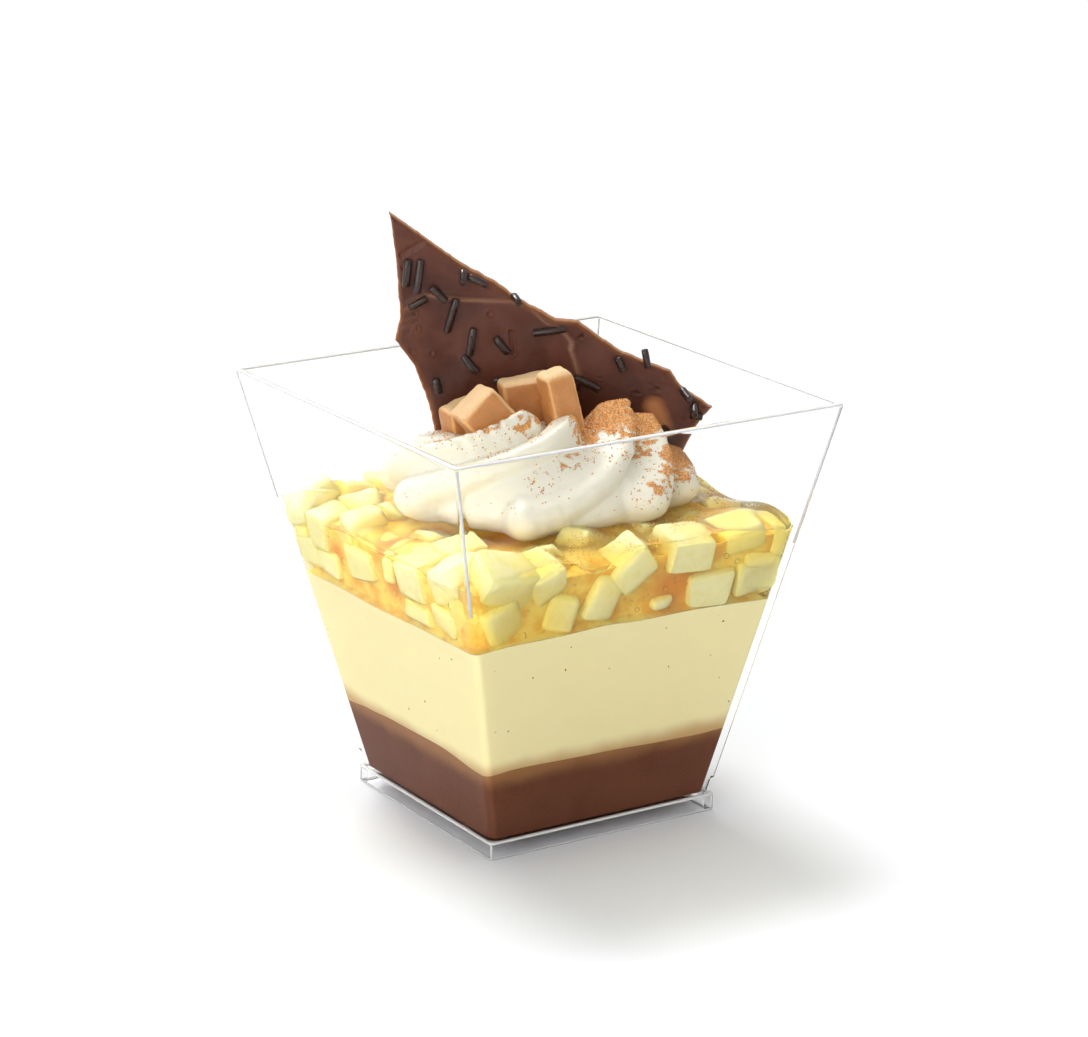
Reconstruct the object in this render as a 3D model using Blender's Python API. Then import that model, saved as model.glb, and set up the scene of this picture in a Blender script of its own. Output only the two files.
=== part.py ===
"""A layered dessert in a clear square tumbler.

From the bottom: a chocolate layer, a vanilla custard layer and diced fruit in jelly, then a
piped swirl of whipped cream that carries four toffee cubes and a broken shard of chocolate.
Metres, +Z up. The origin is the centre of the foot, on the table.
"""

import math

import bmesh
import bpy
import numpy as np
from mathutils import Euler, Matrix, Vector

GAP = 0.0003  # clearance between pieces that touch

# The tumbler: a square foot skirt, then four straight walls that lean outwards.
RIM_WIDTH = 0.0735
CUP_HEIGHT = 0.0722
FOOT_WIDTH = 0.0441
FOOT_HEIGHT = 0.0030
WALL = 0.0012
FLOOR = 0.0011
WALL_START_WIDTH = 0.0431  # outer width of the walls where they leave the foot
RIM_CORNER = 0.0009
LOW_CORNER = 0.0008
FOOT_CORNER = 0.0007
INNER_CORNER = 0.0009
STEP_CORNER = 0.0019  # rounder corners under the small step in each corner
STEP_Z = 0.0057
STEP_RISE = 0.0002
RIM_CHAMFER = 0.0002
CORNER_POINTS = 7

# What fills it, by the height of each surface.
FLOOR_Z = FOOT_HEIGHT + 0.0003
CHOCOLATE_TOP = 0.0155
CUSTARD_TOP = 0.0383
FRUIT_LEVEL = 0.0509  # where the jelly meets the walls, on average
FRUIT_COLUMNS = 72
FRUIT_RINGS = 11

# The topping has a frame of its own, turned from the cup's: X across, Y towards the back.
TOPPING_TURN = math.radians(-31.76)

# The cream is a bundle of rope-like ridges wound round a low core with a broad skirt.
CREAM_CENTRE = np.array((0.0008, 0.0015, 0.0560))
CREAM_CORE = np.array((0.0194, 0.0190, 0.0094))
CREAM_SKIRT = np.array((0.0196, 0.0184, 0.0046))
SKIRT_CENTRE = np.array((0.0008, 0.0015, 0.0536))
SKIRT_ROUNDING = 0.0020
CREAM_COLUMNS = 76
CREAM_ROWS = 26
CREAM_BASE_RINGS = 4
CREAM_REACH = 0.0340  # further out than any ridge
CREAM_LOWEST_ANGLE = math.radians(104)
CREAM_LIFT = 0.0008  # clearance over the uneven fruit
CREASE_ROUNDING = 0.0007
# A ridge's section, in shares of its thickness: broad at the root, narrow at the crest.
ROOT_WIDTH = 0.86
ROOT_DEPTH = 0.35
CREST_AT_FOOT = 0.62
CREST_AT_HEAD = 0.26
# Each ridge: angle, distance out, height and thickness in mm at its foot, the same at its head,
# then the powers by which it draws inwards and climbs.
CREAM_RIDGES = (
    (172, 21.3, 55.3, 4.8, 250, 6.8, 66.8, 3.0, 1.70, 0.75),
    (-156, 20.0, 55.0, 5.4, -56, 7.9, 65.6, 3.6, 0.75, 0.75),
    (-97, 18.2, 54.2, 5.2, 6, 12.6, 66.4, 3.4, 0.60, 1.30),
    (-33, 19.6, 55.2, 5.2, 12, 17.0, 63.8, 3.2, 1.00, 1.10),
    (-5, 21.8, 54.8, 4.8, 20, 22.0, 57.4, 3.6, 1.00, 1.00),
    (32, 20.5, 55.0, 5.6, 66, 16.0, 60.6, 4.2, 1.00, 1.00),
    (76, 20.0, 55.2, 5.8, 150, 12.5, 62.0, 4.2, 1.00, 1.00),
    (122, 20.0, 55.2, 5.6, 182, 16.0, 60.6, 4.2, 1.00, 0.80),
)
RIDGE_STEPS = 12

# The shard: a flat plate broken to an irregular outline, standing in the back of the cream.
SHARD_THICKNESS = 0.0020
SHARD_BACK = 0.0120  # how far its face stands behind the axis
SHARD_DATUM_Z = 0.0600
SHARD_LEAN = math.radians(3)
# Across and up its face from the datum, clockwise from the tall point.
SHARD_OUTLINE = (
    (-0.0241, 0.0383),
    (-0.0176, 0.0336),
    (-0.0121, 0.0297),
    (-0.0066, 0.0267),
    (-0.0024, 0.0236),
    (0.0037, 0.0202),
    (0.0075, 0.0198),
    (0.0090, 0.0187),
    (0.0144, 0.0148),
    (0.0181, 0.0132),
    (0.0232, 0.0112),
    (0.0248, 0.0087),
    (0.0302, 0.0049),
    (0.0287, 0.0034),
    (0.0268, 0.0005),
    (0.0251, -0.0028),
    (0.0215, -0.0058),
    (-0.0130, -0.0058),
    (-0.0165, -0.0010),
    (-0.0178, 0.0055),
    (-0.0202, 0.0122),
    (-0.0234, 0.0166),
    (-0.0225, 0.0207),
    (-0.0231, 0.0304),
)

# The toffee cubes: centre, size, and turn about X, Y and Z, in the topping's frame.
TOFFEES = {
    "toffee_1": ((-0.0122, 0.0050, 0.0652), (0.0060, 0.0055, 0.0055), (8, -14, 30)),
    "toffee_2": ((-0.0081, -0.0040, 0.0679), (0.0076, 0.0072, 0.0076), (-4, 49, 18)),
    "toffee_3": ((-0.0009, 0.0048, 0.0680), (0.0092, 0.0060, 0.0084), (-4, -7, 14)),
    "toffee_4": ((0.0043, -0.0012, 0.0697), (0.0052, 0.0056, 0.0106), (-5, -12, 22)),
}
TOFFEE_EDGE = 0.0006


def clear_scene():
    for ob in list(bpy.data.objects):
        bpy.data.objects.remove(ob, do_unlink=True)


def finish(name, colour, roughness, alpha=1.0):
    mat = bpy.data.materials.new(name)
    mat.use_nodes = True
    shader = mat.node_tree.nodes["Principled BSDF"]
    shader.inputs["Base Color"].default_value = (*colour, 1.0)
    shader.inputs["Roughness"].default_value = roughness
    shader.inputs["Metallic"].default_value = 0.0
    shader.inputs["Alpha"].default_value = alpha
    mat.diffuse_color = (*colour, alpha)
    return mat


def add_object(name, mesh, mat):
    ob = bpy.data.objects.new(name, mesh)
    bpy.context.scene.collection.objects.link(ob)
    if mat:
        mesh.materials.append(mat)
    return ob


def closed_mesh(name, points, faces):
    """A mesh of one closed body, its faces turned outwards."""
    mesh = bpy.data.meshes.new(name)
    bm = bmesh.new()
    verts = [bm.verts.new(p) for p in points]
    for face in faces:
        bm.faces.new([verts[i] for i in face])
    bmesh.ops.recalc_face_normals(bm, faces=bm.faces[:])
    if bm.calc_volume(signed=True) < 0:
        bmesh.ops.reverse_faces(bm, faces=bm.faces[:])
    bm.to_mesh(mesh)
    bm.free()
    return mesh


def stacked(name, rings):
    """A body through rings of equally many points, with a flat cap on the first and last."""
    count = len(rings[0])
    points = [p for ring in rings for p in ring]
    faces = []
    for k in range(len(rings) - 1):
        low, high = k * count, (k + 1) * count
        for i in range(count):
            j = (i + 1) % count
            faces.append((low + i, low + j, high + j, high + i))
    faces.append(tuple(range(count)))
    faces.append(tuple(reversed(range(len(points) - count, len(points)))))
    return closed_mesh(name, points, faces)


def rounded_square(half, corner, z):
    """Points round a square with round corners, anticlockwise seen from above."""
    ring = []
    for quarter in range(4):
        centre = (half - corner) * math.sqrt(2)
        facing = math.radians(45 + 90 * quarter)
        for i in range(CORNER_POINTS):
            turn = facing + math.radians(90) * (i / (CORNER_POINTS - 1) - 0.5)
            x = centre * math.cos(facing) + corner * math.cos(turn)
            y = centre * math.sin(facing) + corner * math.sin(turn)
            ring.append((x, y, z))
    return ring


def wall_half(z):
    """Half the tumbler's outer width at height z, above the foot."""
    rise = (z - FOOT_HEIGHT) / (CUP_HEIGHT - RIM_CHAMFER - FOOT_HEIGHT)
    return (WALL_START_WIDTH + (RIM_WIDTH - WALL_START_WIDTH) * rise) / 2


def wall_corner(z):
    """Outer corner radius at height z: rounder below the small step."""
    if z <= STEP_Z:
        return STEP_CORNER
    rise = (z - STEP_Z) / (CUP_HEIGHT - STEP_Z)
    return LOW_CORNER + (RIM_CORNER - LOW_CORNER) * rise


def outer_ring(z):
    return rounded_square(wall_half(z), wall_corner(z), z)


def inner_ring(z, inset=0.0):
    """The cavity's outline at height z, drawn in by inset."""
    corner = max(INNER_CORNER - inset, 0.0003)
    return rounded_square(wall_half(z) - WALL - inset, corner, z)


def make_cup(mat):
    step_top = STEP_Z + STEP_RISE
    foot = FOOT_WIDTH / 2
    recess = foot - WALL
    rim_corner = RIM_CORNER - RIM_CHAMFER
    rings = [
        rounded_square(recess, FOOT_CORNER, FLOOR_Z - FLOOR),
        rounded_square(recess, FOOT_CORNER, 0.0),
        rounded_square(foot, FOOT_CORNER, 0.0),
        rounded_square(foot, FOOT_CORNER, FOOT_HEIGHT - RIM_CHAMFER),
        outer_ring(FOOT_HEIGHT),
        outer_ring(STEP_Z),
        outer_ring(step_top),
        outer_ring(CUP_HEIGHT - RIM_CHAMFER),
        rounded_square(wall_half(CUP_HEIGHT) - RIM_CHAMFER, rim_corner, CUP_HEIGHT),
        inner_ring(CUP_HEIGHT, -RIM_CHAMFER),
        inner_ring(CUP_HEIGHT - RIM_CHAMFER),
        inner_ring(step_top),
        inner_ring(STEP_Z),
        inner_ring(FLOOR_Z),
    ]
    return add_object("cup", stacked("cup", rings), mat)


def make_layer(name, bottom, top, mat):
    """A layer of filling between two heights, clear of the walls."""
    steps = (STEP_Z, STEP_Z + STEP_RISE)
    heights = [bottom, *(z for z in steps if bottom < z < top), top]
    rings = [inner_ring(z, GAP) for z in heights]
    return add_object(name, stacked(name, rings), mat)


def fruit_top(x, y):
    """Height of the uneven fruit and jelly: a low mound, rolling bumps and a sunken corner."""
    tilt = 0.030 * x
    mound = 0.0012 * math.exp(-(x * x + y * y) / (2 * 0.020**2))
    rolls = 0.0008 * math.sin(x / 0.0031 + 0.8) * math.cos(y / 0.0028 - 0.5)
    ripples = 0.0004 * math.sin((x + y) / 0.0019)
    from_corner = (x + 0.031) ** 2 + (y + 0.031) ** 2
    sunken = 0.0042 * math.exp(-from_corner / (2 * 0.0050**2))
    return FRUIT_LEVEL + tilt + mound + rolls + ripples - sunken


def wall_reach(angle, z):
    """Distance from the axis to the cavity's rounded square outline, along an angle."""
    half = wall_half(z) - WALL - GAP
    corner = INNER_CORNER - GAP
    c, s = abs(math.cos(angle)), abs(math.sin(angle))
    straight = half / max(c, s)
    if min(c, s) * straight <= half - corner:
        return straight
    centre = half - corner
    along = centre * (c + s)
    return along + math.sqrt(along**2 - 2 * centre**2 + corner**2)


def make_fruit(mat):
    """The heap of diced fruit in jelly, one solid out to its uneven top."""
    bottom = CUSTARD_TOP + GAP
    angles = [2 * math.pi * (i + 0.5) / FRUIT_COLUMNS for i in range(FRUIT_COLUMNS)]

    def at_wall(angle, z):
        reach = wall_reach(angle, z)
        return (reach * math.cos(angle), reach * math.sin(angle), z)

    low = [at_wall(a, bottom) for a in angles]
    edge = []
    for a in angles:
        x, y, _ = at_wall(a, FRUIT_LEVEL)
        edge.append(at_wall(a, fruit_top(x, y)))
    rings = [low, edge]
    for k in range(1, FRUIT_RINGS):
        share = 1 - k / FRUIT_RINGS
        ring = [(x * share, y * share, fruit_top(x * share, y * share)) for x, y, _ in edge]
        rings.append(ring)
    count = FRUIT_COLUMNS
    points = [p for ring in rings for p in ring] + [(0.0, 0.0, fruit_top(0, 0))]
    faces = [tuple(reversed(range(count)))]
    for k in range(len(rings) - 1):
        for i in range(count):
            j = (i + 1) % count
            faces.append((k * count + i, k * count + j, (k + 1) * count + j, (k + 1) * count + i))
    last = (len(rings) - 1) * count
    for i in range(count):
        faces.append((last + i, last + (i + 1) % count, len(points) - 1))
    return add_object("fruit_in_jelly", closed_mesh("fruit_in_jelly", points, faces), mat)


def ridge_path(ridge):
    """One ridge from foot to head: its points, thickness, way outwards and share at the crest."""
    foot_angle, foot_r, foot_z, foot_size = ridge[:4]
    head_angle, head_r, head_z, head_size, inwards, climb = ridge[4:]
    t = np.linspace(0, 1, RIDGE_STEPS)
    angle = np.radians(foot_angle + (head_angle - foot_angle) * t)
    radius = (foot_r + (head_r - foot_r) * t**inwards) / 1000
    z = (foot_z + (head_z - foot_z) * t**climb) / 1000
    x = CREAM_CENTRE[0] + radius * np.cos(angle)
    y = CREAM_CENTRE[1] + radius * np.sin(angle)
    path = np.stack([x, y, z], -1)
    outwards = path - CREAM_CENTRE + (0, 0, 0.0025)
    outwards /= np.linalg.norm(outwards, axis=1)[:, None]
    size = (foot_size + (head_size - foot_size) * t) / 1000
    crest = CREST_AT_FOOT + (CREST_AT_HEAD - CREST_AT_FOOT) * t**0.7
    return path, size, outwards, crest


def tapered_distance(side, out, size, crest):
    """Distance to a ridge's section: a broad circle within, a narrower one at its crest."""
    root = ROOT_WIDTH * size
    tip = crest * size
    height = size * (1 + ROOT_DEPTH - crest)
    up = out + ROOT_DEPTH * size
    b = (root - tip) / height
    a = np.sqrt(1 - b * b)
    k = up * a - side * b
    low = np.hypot(side, up) - root
    high = np.hypot(side, up - height) - tip
    return np.where(k < 0, low, np.where(k > a * height, high, side * a + up * b - root))


def smooth_min(a, b, k):
    """The lesser of two distances, with the crease between them rounded over k."""
    h = np.maximum(k - np.abs(a - b), 0) / k
    return np.minimum(a, b) - h * h * k / 4


def ellipsoid_distance(points, centre, radii):
    return (np.linalg.norm((points - centre) / radii, axis=-1) - 1) * radii.min()


def cream_distance(points):
    """Roughly how far each point is outside the cream, in the topping's frame."""
    core = ellipsoid_distance(points, CREAM_CENTRE, CREAM_CORE)
    skirt = ellipsoid_distance(points, SKIRT_CENTRE, CREAM_SKIRT)
    distance = smooth_min(core, skirt, SKIRT_ROUNDING)
    for ridge in CREAM_RIDGES:
        path, size, outwards, crest = ridge_path(ridge)
        nearest = np.full(len(points), np.inf)
        for k in range(RIDGE_STEPS - 1):
            step = path[k + 1] - path[k]
            away = points - path[k]
            t = np.clip(away @ step / (step @ step), 0, 1)
            away -= t[:, None] * step
            out = away @ (outwards[k] + outwards[k + 1]) / 2
            side = np.sqrt(np.maximum((away * away).sum(1) - out * out, 0))
            here = size[k] + (size[k + 1] - size[k]) * t
            nearest = np.minimum(nearest, tapered_distance(side, out, here, crest[k]))
        distance = smooth_min(distance, nearest, CREASE_ROUNDING)
    return distance


def cream_surface(columns, rows):
    """Rows of points over the cream, from the ring by its foot up to the one round its top."""
    down = np.linspace(CREAM_LOWEST_ANGLE, CREAM_LOWEST_ANGLE / rows, rows)
    turn = np.linspace(0, 2 * math.pi, columns, endpoint=False)
    down, turn = np.meshgrid(down, turn, indexing="ij")
    ways = np.stack([np.sin(down) * np.cos(turn), np.sin(down) * np.sin(turn), np.cos(down)], -1)
    ways = np.concatenate([ways.reshape(-1, 3), [(0, 0, 1)]])
    outside = np.full(len(ways), CREAM_REACH)
    for _ in range(60):
        distance = cream_distance(CREAM_CENTRE + ways * outside[:, None])
        outside -= np.maximum(distance, 0) * 0.8
    surface = CREAM_CENTRE + ways * outside[:, None]
    return surface[:-1].reshape(rows, columns, 3), surface[-1]


def make_cream(mat, to_world):
    """The piped swirl, closed below by a base that follows the fruit."""
    rows, top = cream_surface(CREAM_COLUMNS, CREAM_ROWS)

    def placed(p):
        q = to_world @ Vector(p)
        return (q.x, q.y, max(q.z, fruit_top(q.x, q.y) + CREAM_LIFT))

    rings = [[placed(p) for p in row] for row in rows]
    foot = rows[0]
    middle = CREAM_CENTRE * (1, 1, 0)
    for k in range(1, CREAM_BASE_RINGS + 1):
        share = 1 - k / (CREAM_BASE_RINGS + 1)
        inner = middle + (foot * (1, 1, 0) - middle) * share
        rings.insert(0, [placed(p) for p in inner])
    count = CREAM_COLUMNS
    points = [p for ring in rings for p in ring] + [placed(middle), placed(top)]
    below, above = len(points) - 2, len(points) - 1
    faces = []
    for k in range(len(rings) - 1):
        for i in range(count):
            j = (i + 1) % count
            faces.append((k * count + i, k * count + j, (k + 1) * count + j, (k + 1) * count + i))
    last = (len(rings) - 1) * count
    for i in range(count):
        j = (i + 1) % count
        faces.append((below, j, i))
        faces.append((last + i, last + j, above))
    return add_object("whipped_cream", closed_mesh("whipped_cream", points, faces), mat)


def shard_mesh(name, grow):
    """The broken plate, in the topping's frame, with its outline and faces moved out by grow."""
    outline = [Vector(p) for p in SHARD_OUTLINE]
    moved = []
    for i, p in enumerate(outline):
        before, after = outline[i - 1], outline[(i + 1) % len(outline)]
        along_in = (p - before).normalized()
        along_out = (after - p).normalized()
        side = Vector((-along_in.y, along_in.x)) + Vector((-along_out.y, along_out.x))
        side.normalize()
        spread = max(side.dot(Vector((-along_in.y, along_in.x))), 0.5)
        moved.append(p + side * grow / spread)
    half = SHARD_THICKNESS / 2 + grow
    stand = Matrix.Translation((0, SHARD_BACK + SHARD_THICKNESS / 2, SHARD_DATUM_Z))
    stand = stand @ Matrix.Rotation(-SHARD_LEAN, 4, "X")
    rings = [[stand @ Vector((p.x, y, p.y)) for p in moved] for y in (-half, half)]
    return stacked(name, rings)


def toffee_mesh(name, spec, grow):
    """One toffee cube with soft edges, in the topping's frame."""
    centre, size, turns = spec
    bm = bmesh.new()
    bmesh.ops.create_cube(bm, size=1.0)
    bmesh.ops.scale(bm, vec=[s + 2 * grow for s in size], verts=bm.verts)
    bmesh.ops.bevel(
        bm, geom=bm.edges[:], offset=TOFFEE_EDGE, offset_type="OFFSET", segments=2, profile=0.5,
        affect="EDGES",
    )
    place = Matrix.Translation(centre) @ Euler([math.radians(a) for a in turns]).to_matrix().to_4x4()
    bmesh.ops.transform(bm, matrix=place, verts=bm.verts)
    mesh = bpy.data.meshes.new(name)
    bm.to_mesh(mesh)
    bm.free()
    return mesh


def cut(target, cutter):
    cutter.hide_render = True
    cutter.display_type = "WIRE"
    boolean = target.modifiers.new(cutter.name, "BOOLEAN")
    boolean.operation = "DIFFERENCE"
    boolean.solver = "EXACT"
    boolean.object = cutter


def build():
    clear_scene()
    clear_plastic = finish("clear_plastic", (0.94, 0.95, 0.96), 0.05, 0.25)
    chocolate = finish("set_chocolate", (0.16, 0.065, 0.040), 0.45)
    custard = finish("custard", (0.86, 0.76, 0.44), 0.45)
    fruit = finish("fruit_jelly", (0.85, 0.66, 0.22), 0.20)
    cream = finish("cream", (0.93, 0.91, 0.84), 0.50)
    toffee = finish("toffee", (0.68, 0.38, 0.17), 0.45)
    shard = finish("shard_chocolate", (0.11, 0.045, 0.030), 0.35)

    make_cup(clear_plastic)
    make_layer("chocolate_layer", FLOOR_Z + GAP, CHOCOLATE_TOP, chocolate)
    make_layer("custard_layer", CHOCOLATE_TOP + GAP, CUSTARD_TOP, custard)
    make_fruit(fruit)

    turned = Matrix.Rotation(TOPPING_TURN, 4, "Z")
    swirl = make_cream(cream, turned)
    plate = add_object("chocolate_shard", shard_mesh("chocolate_shard", 0.0), shard)
    plate.matrix_world = turned
    slot = add_object("shard_slot", shard_mesh("shard_slot", GAP), None)
    slot.matrix_world = turned
    cut(swirl, slot)
    for name, spec in TOFFEES.items():
        cube = add_object(name, toffee_mesh(name, spec, 0.0), toffee)
        cube.matrix_world = turned
        hollow = add_object(name + "_hollow", toffee_mesh(name + "_hollow", spec, GAP), None)
        hollow.matrix_world = turned
        cut(swirl, hollow)


build()
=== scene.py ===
"""The finish of a layered dessert in a clear square tumbler.

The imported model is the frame. Every piece of food is made again here with its real surface:
the layers reach just into the plastic, the diced fruit lies loose in its jelly, the piped cream
has its ridges and its dusting, and the shard has its poured seam and its sprinkles.
Metres, +Z up, the origin at the centre of the foot.
"""

import math

import bmesh
import bpy
import numpy as np
from mathutils import Euler, Matrix, Vector, noise


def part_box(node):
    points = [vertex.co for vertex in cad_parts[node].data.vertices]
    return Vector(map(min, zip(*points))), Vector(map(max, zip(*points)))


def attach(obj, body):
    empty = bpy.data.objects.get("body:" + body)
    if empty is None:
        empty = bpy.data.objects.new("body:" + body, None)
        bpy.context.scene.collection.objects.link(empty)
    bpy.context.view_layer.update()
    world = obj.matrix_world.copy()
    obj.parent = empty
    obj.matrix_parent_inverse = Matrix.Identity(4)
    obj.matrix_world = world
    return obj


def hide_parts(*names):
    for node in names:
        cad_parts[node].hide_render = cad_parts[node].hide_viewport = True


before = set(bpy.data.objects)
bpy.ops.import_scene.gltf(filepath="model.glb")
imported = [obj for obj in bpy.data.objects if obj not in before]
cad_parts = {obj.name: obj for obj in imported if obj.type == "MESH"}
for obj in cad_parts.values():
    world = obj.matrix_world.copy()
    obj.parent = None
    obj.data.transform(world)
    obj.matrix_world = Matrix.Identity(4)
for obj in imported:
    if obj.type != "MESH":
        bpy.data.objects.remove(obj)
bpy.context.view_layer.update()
MM = 0.001

# ---------------------------------------------------------------- sizes

# The tumbler, from its own box and the dimensions its walls are drawn with.
CUP_LOW, CUP_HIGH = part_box("cup")
RIM_WIDTH = CUP_HIGH.x - CUP_LOW.x
CUP_HEIGHT = CUP_HIGH.z
FOOT_WIDTH = 44.1 * MM
FOOT_HEIGHT = 3.0 * MM
WALL = 1.2 * MM
FLOOR = 1.1 * MM
WALL_START_WIDTH = 43.1 * MM
RIM_CORNER = 0.9 * MM
LOW_CORNER = 0.8 * MM
FOOT_CORNER = 0.7 * MM
STEP_CORNER = 1.9 * MM
INNER_CORNER = 0.9 * MM
STEP_Z = 5.7 * MM
STEP_RISE = 0.2 * MM
RIM_CHAMFER = 0.2 * MM
FLOOR_Z = FOOT_HEIGHT + 0.3 * MM
REACH_INTO_WALL = 0.15 * MM

# The layers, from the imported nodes.
CHOCOLATE_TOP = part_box("chocolate_layer")[1].z
CUSTARD_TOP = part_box("custard_layer")[1].z
FRUIT_LEVEL = 50.9 * MM

# The topping's own frame: X across, Y towards the back.
TOPPING_TURN = math.radians(-31.76)
TO_TOPPING = Matrix.Rotation(TOPPING_TURN, 4, "Z")

# Where each layer meets the two front walls: along the wall, and how high. The wall that faces
# left runs from the left corner to the front one, the other from the front to the right one.
CHOCOLATE_LINE_LEFT = ((-24.0, 14.8), (-15.0, 15.6), (-6.0, 16.1), (9.0, 16.4), (21.0, 15.4))
CHOCOLATE_LINE_RIGHT = ((-24.0, 15.3), (-19.0, 15.8), (-1.4, 15.4), (12.0, 14.9), (23.0, 14.5))
CUSTARD_LINE_LEFT = ((-29.0, 37.4), (-14.8, 37.8), (-4.6, 37.6), (15.0, 38.2), (24.7, 38.3))
CUSTARD_LINE_RIGHT = (
    (-29.0, 38.4), (-22.0, 38.8), (-14.0, 38.8), (-4.0, 39.2), (3.0, 38.8), (11.0, 38.9),
    (28.0, 38.3),
)
JELLY_LINE_LEFT = (
    (-31.4, 51.6), (-27.6, 47.6), (-22.0, 48.9), (-17.0, 48.7), (-8.0, 49.5), (1.7, 49.0),
    (8.0, 49.6), (14.4, 49.9), (19.0, 48.6), (22.9, 47.9), (25.1, 45.8), (29.0, 45.6), (31.4, 46.4),
)
JELLY_LINE_RIGHT = (
    (-31.4, 46.4), (-29.5, 46.0), (-27.1, 48.4), (-24.5, 50.4), (-20.5, 51.8), (-15.6, 52.4),
    (-11.9, 51.6), (-9.6, 49.9), (-7.5, 49.0), (-5.2, 49.4), (-3.4, 51.6), (0.4, 52.5), (9.3, 52.0),
    (16.5, 52.4), (23.4, 51.4), (31.4, 50.0),
)


def column(values, index):
    return np.array([row[index] for row in values]) * MM


# ---------------------------------------------------------------- shader maths


class Value:
    """A socket of a material's tree. Arithmetic on it adds Math nodes."""

    def __init__(self, finish, socket):
        self.finish = finish
        self.socket = socket

    def maths(self, operation, *terms):
        settings = {"operation": operation}
        return self.finish.node("ShaderNodeMath", settings, dict(enumerate(terms)))

    def __add__(self, other):
        return self.maths("ADD", self, other)

    def __sub__(self, other):
        return self.maths("SUBTRACT", self, other)

    def __rsub__(self, other):
        return self.maths("SUBTRACT", other, self)

    def __mul__(self, other):
        return self.maths("MULTIPLY", self, other)

    __radd__ = __add__
    __rmul__ = __mul__

    def between(self, low, high):
        """0 below low, 1 above high, eased in between."""
        settings = {"interpolation_type": "SMOOTHSTEP"}
        return self.finish.node("ShaderNodeMapRange", settings, {0: self, 1: low, 2: high})


class Finish:
    """One material, built node by node."""

    def __init__(self, name):
        self.material = bpy.data.materials.new(name)
        self.material.use_nodes = True
        self.tree = self.material.node_tree
        self.tree.nodes.clear()
        self.output = self.tree.nodes.new("ShaderNodeOutputMaterial")

    def node(self, kind, settings=None, sockets=None, output=0):
        """Adds a node: its settings first, then the values or links of its sockets."""
        made = self.tree.nodes.new(kind)
        for name, value in (settings or {}).items():
            setattr(made, name, value)
        for name, value in (sockets or {}).items():
            socket = made.inputs[name]
            if isinstance(value, Value):
                self.tree.links.new(value.socket, socket)
            elif socket.type == "RGBA":
                socket.default_value = (*value, 1.0)
            else:
                socket.default_value = value
        return Value(self, made.outputs[output])

    def place(self):
        return self.node("ShaderNodeTexCoord", output="Object")

    def height(self):
        return self.node("ShaderNodeSeparateXYZ", None, {0: self.place()}, output="Z")

    def attribute(self, name):
        return self.node("ShaderNodeAttribute", {"attribute_name": name}, output="Fac")

    def clouds(self, size, detail=3.0, roughness=0.5, warp=0.0):
        """Noise from 0 to 1 whose features are about size across."""
        sockets = {
            "Vector": self.place(), "Scale": 1 / size, "Detail": detail,
            "Roughness": roughness, "Distortion": warp,
        }
        return self.node("ShaderNodeTexNoise", None, sockets)

    def cells(self, size):
        """Distance to the nearest of scattered points about size apart, in shares of size."""
        sockets = {"Vector": self.place(), "Scale": 1 / size}
        return self.node("ShaderNodeTexVoronoi", None, sockets)

    def mix(self, share, first, second):
        """A colour between two."""
        settings = {"data_type": "RGBA"}
        return self.node("ShaderNodeMix", settings, {0: share, 6: first, 7: second}, output=2)

    def bump(self, relief, depth):
        """A normal from a relief of 0 to 1 that stands depth high."""
        sockets = {"Strength": 1.0, "Distance": depth, "Height": relief}
        return self.node("ShaderNodeBump", None, sockets)

    def surface(self, sockets):
        """The Principled shader with these sockets, wired to the output."""
        settings = {"subsurface_method": "RANDOM_WALK"}
        shader = self.node("ShaderNodeBsdfPrincipled", settings, sockets)
        self.tree.links.new(shader.socket, self.output.inputs["Surface"])
        return shader

    def lets_lamps_through(self, shader, tint):
        """Shadows pass the clear piece, only tinted by it."""
        bare = self.node("ShaderNodeBsdfTransparent", None, {0: tint})
        shadow = self.node("ShaderNodeLightPath", output="Is Shadow Ray")
        mixed = self.node("ShaderNodeMixShader", None, {0: shadow, 1: shader, 2: bare})
        self.tree.links.new(mixed.socket, self.output.inputs["Surface"])


# ---------------------------------------------------------------- materials


def light_sinks_in(weight, radius, depth):
    """Sockets of a soft food that light goes a little way into."""
    return {"Subsurface Weight": weight, "Subsurface Radius": radius, "Subsurface Scale": depth}


def clear_plastic():
    f = Finish("clear_plastic")
    shader = f.surface({
        "Base Color": (0.99, 0.99, 0.99), "Roughness": 0.0, "IOR": 1.12, "Transmission Weight": 1.0,
    })
    f.lets_lamps_through(shader, (0.96, 0.965, 0.97))
    return f.material


def painted_edge_light():
    """A painted highlight: the pale light that gathers in a moulded edge, painted on opaque beads.
    """
    f = Finish("painted_edge_light")
    f.surface({"Base Color": (0.74, 0.735, 0.715), "Roughness": 0.5, "Specular IOR Level": 0.2})
    return f.material


def set_chocolate():
    """Smooth dark pudding that turns to a caramel brown where the custard has run into it."""
    f = Finish("set_chocolate")
    wander = f.clouds(7 * MM, 2.0) * 2.4 * MM
    near_top = (f.height() + wander).between(CHOCOLATE_TOP - 2.2 * MM, CHOCOLATE_TOP + 1.4 * MM)
    marbling = f.clouds(9 * MM, 4.0, 0.6, 0.6)
    dark = f.mix(marbling, (0.100, 0.031, 0.015), (0.165, 0.059, 0.029))
    colour = f.mix(near_top * 0.6, dark, (0.40, 0.19, 0.070))
    grain = f.clouds(3 * MM, 3.0)
    f.surface({
        "Base Color": colour, "Roughness": 0.42 + grain * 0.12, "Specular IOR Level": 0.08,
        "Normal": f.bump(grain, 0.01 * MM),
    })
    return f.material


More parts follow.
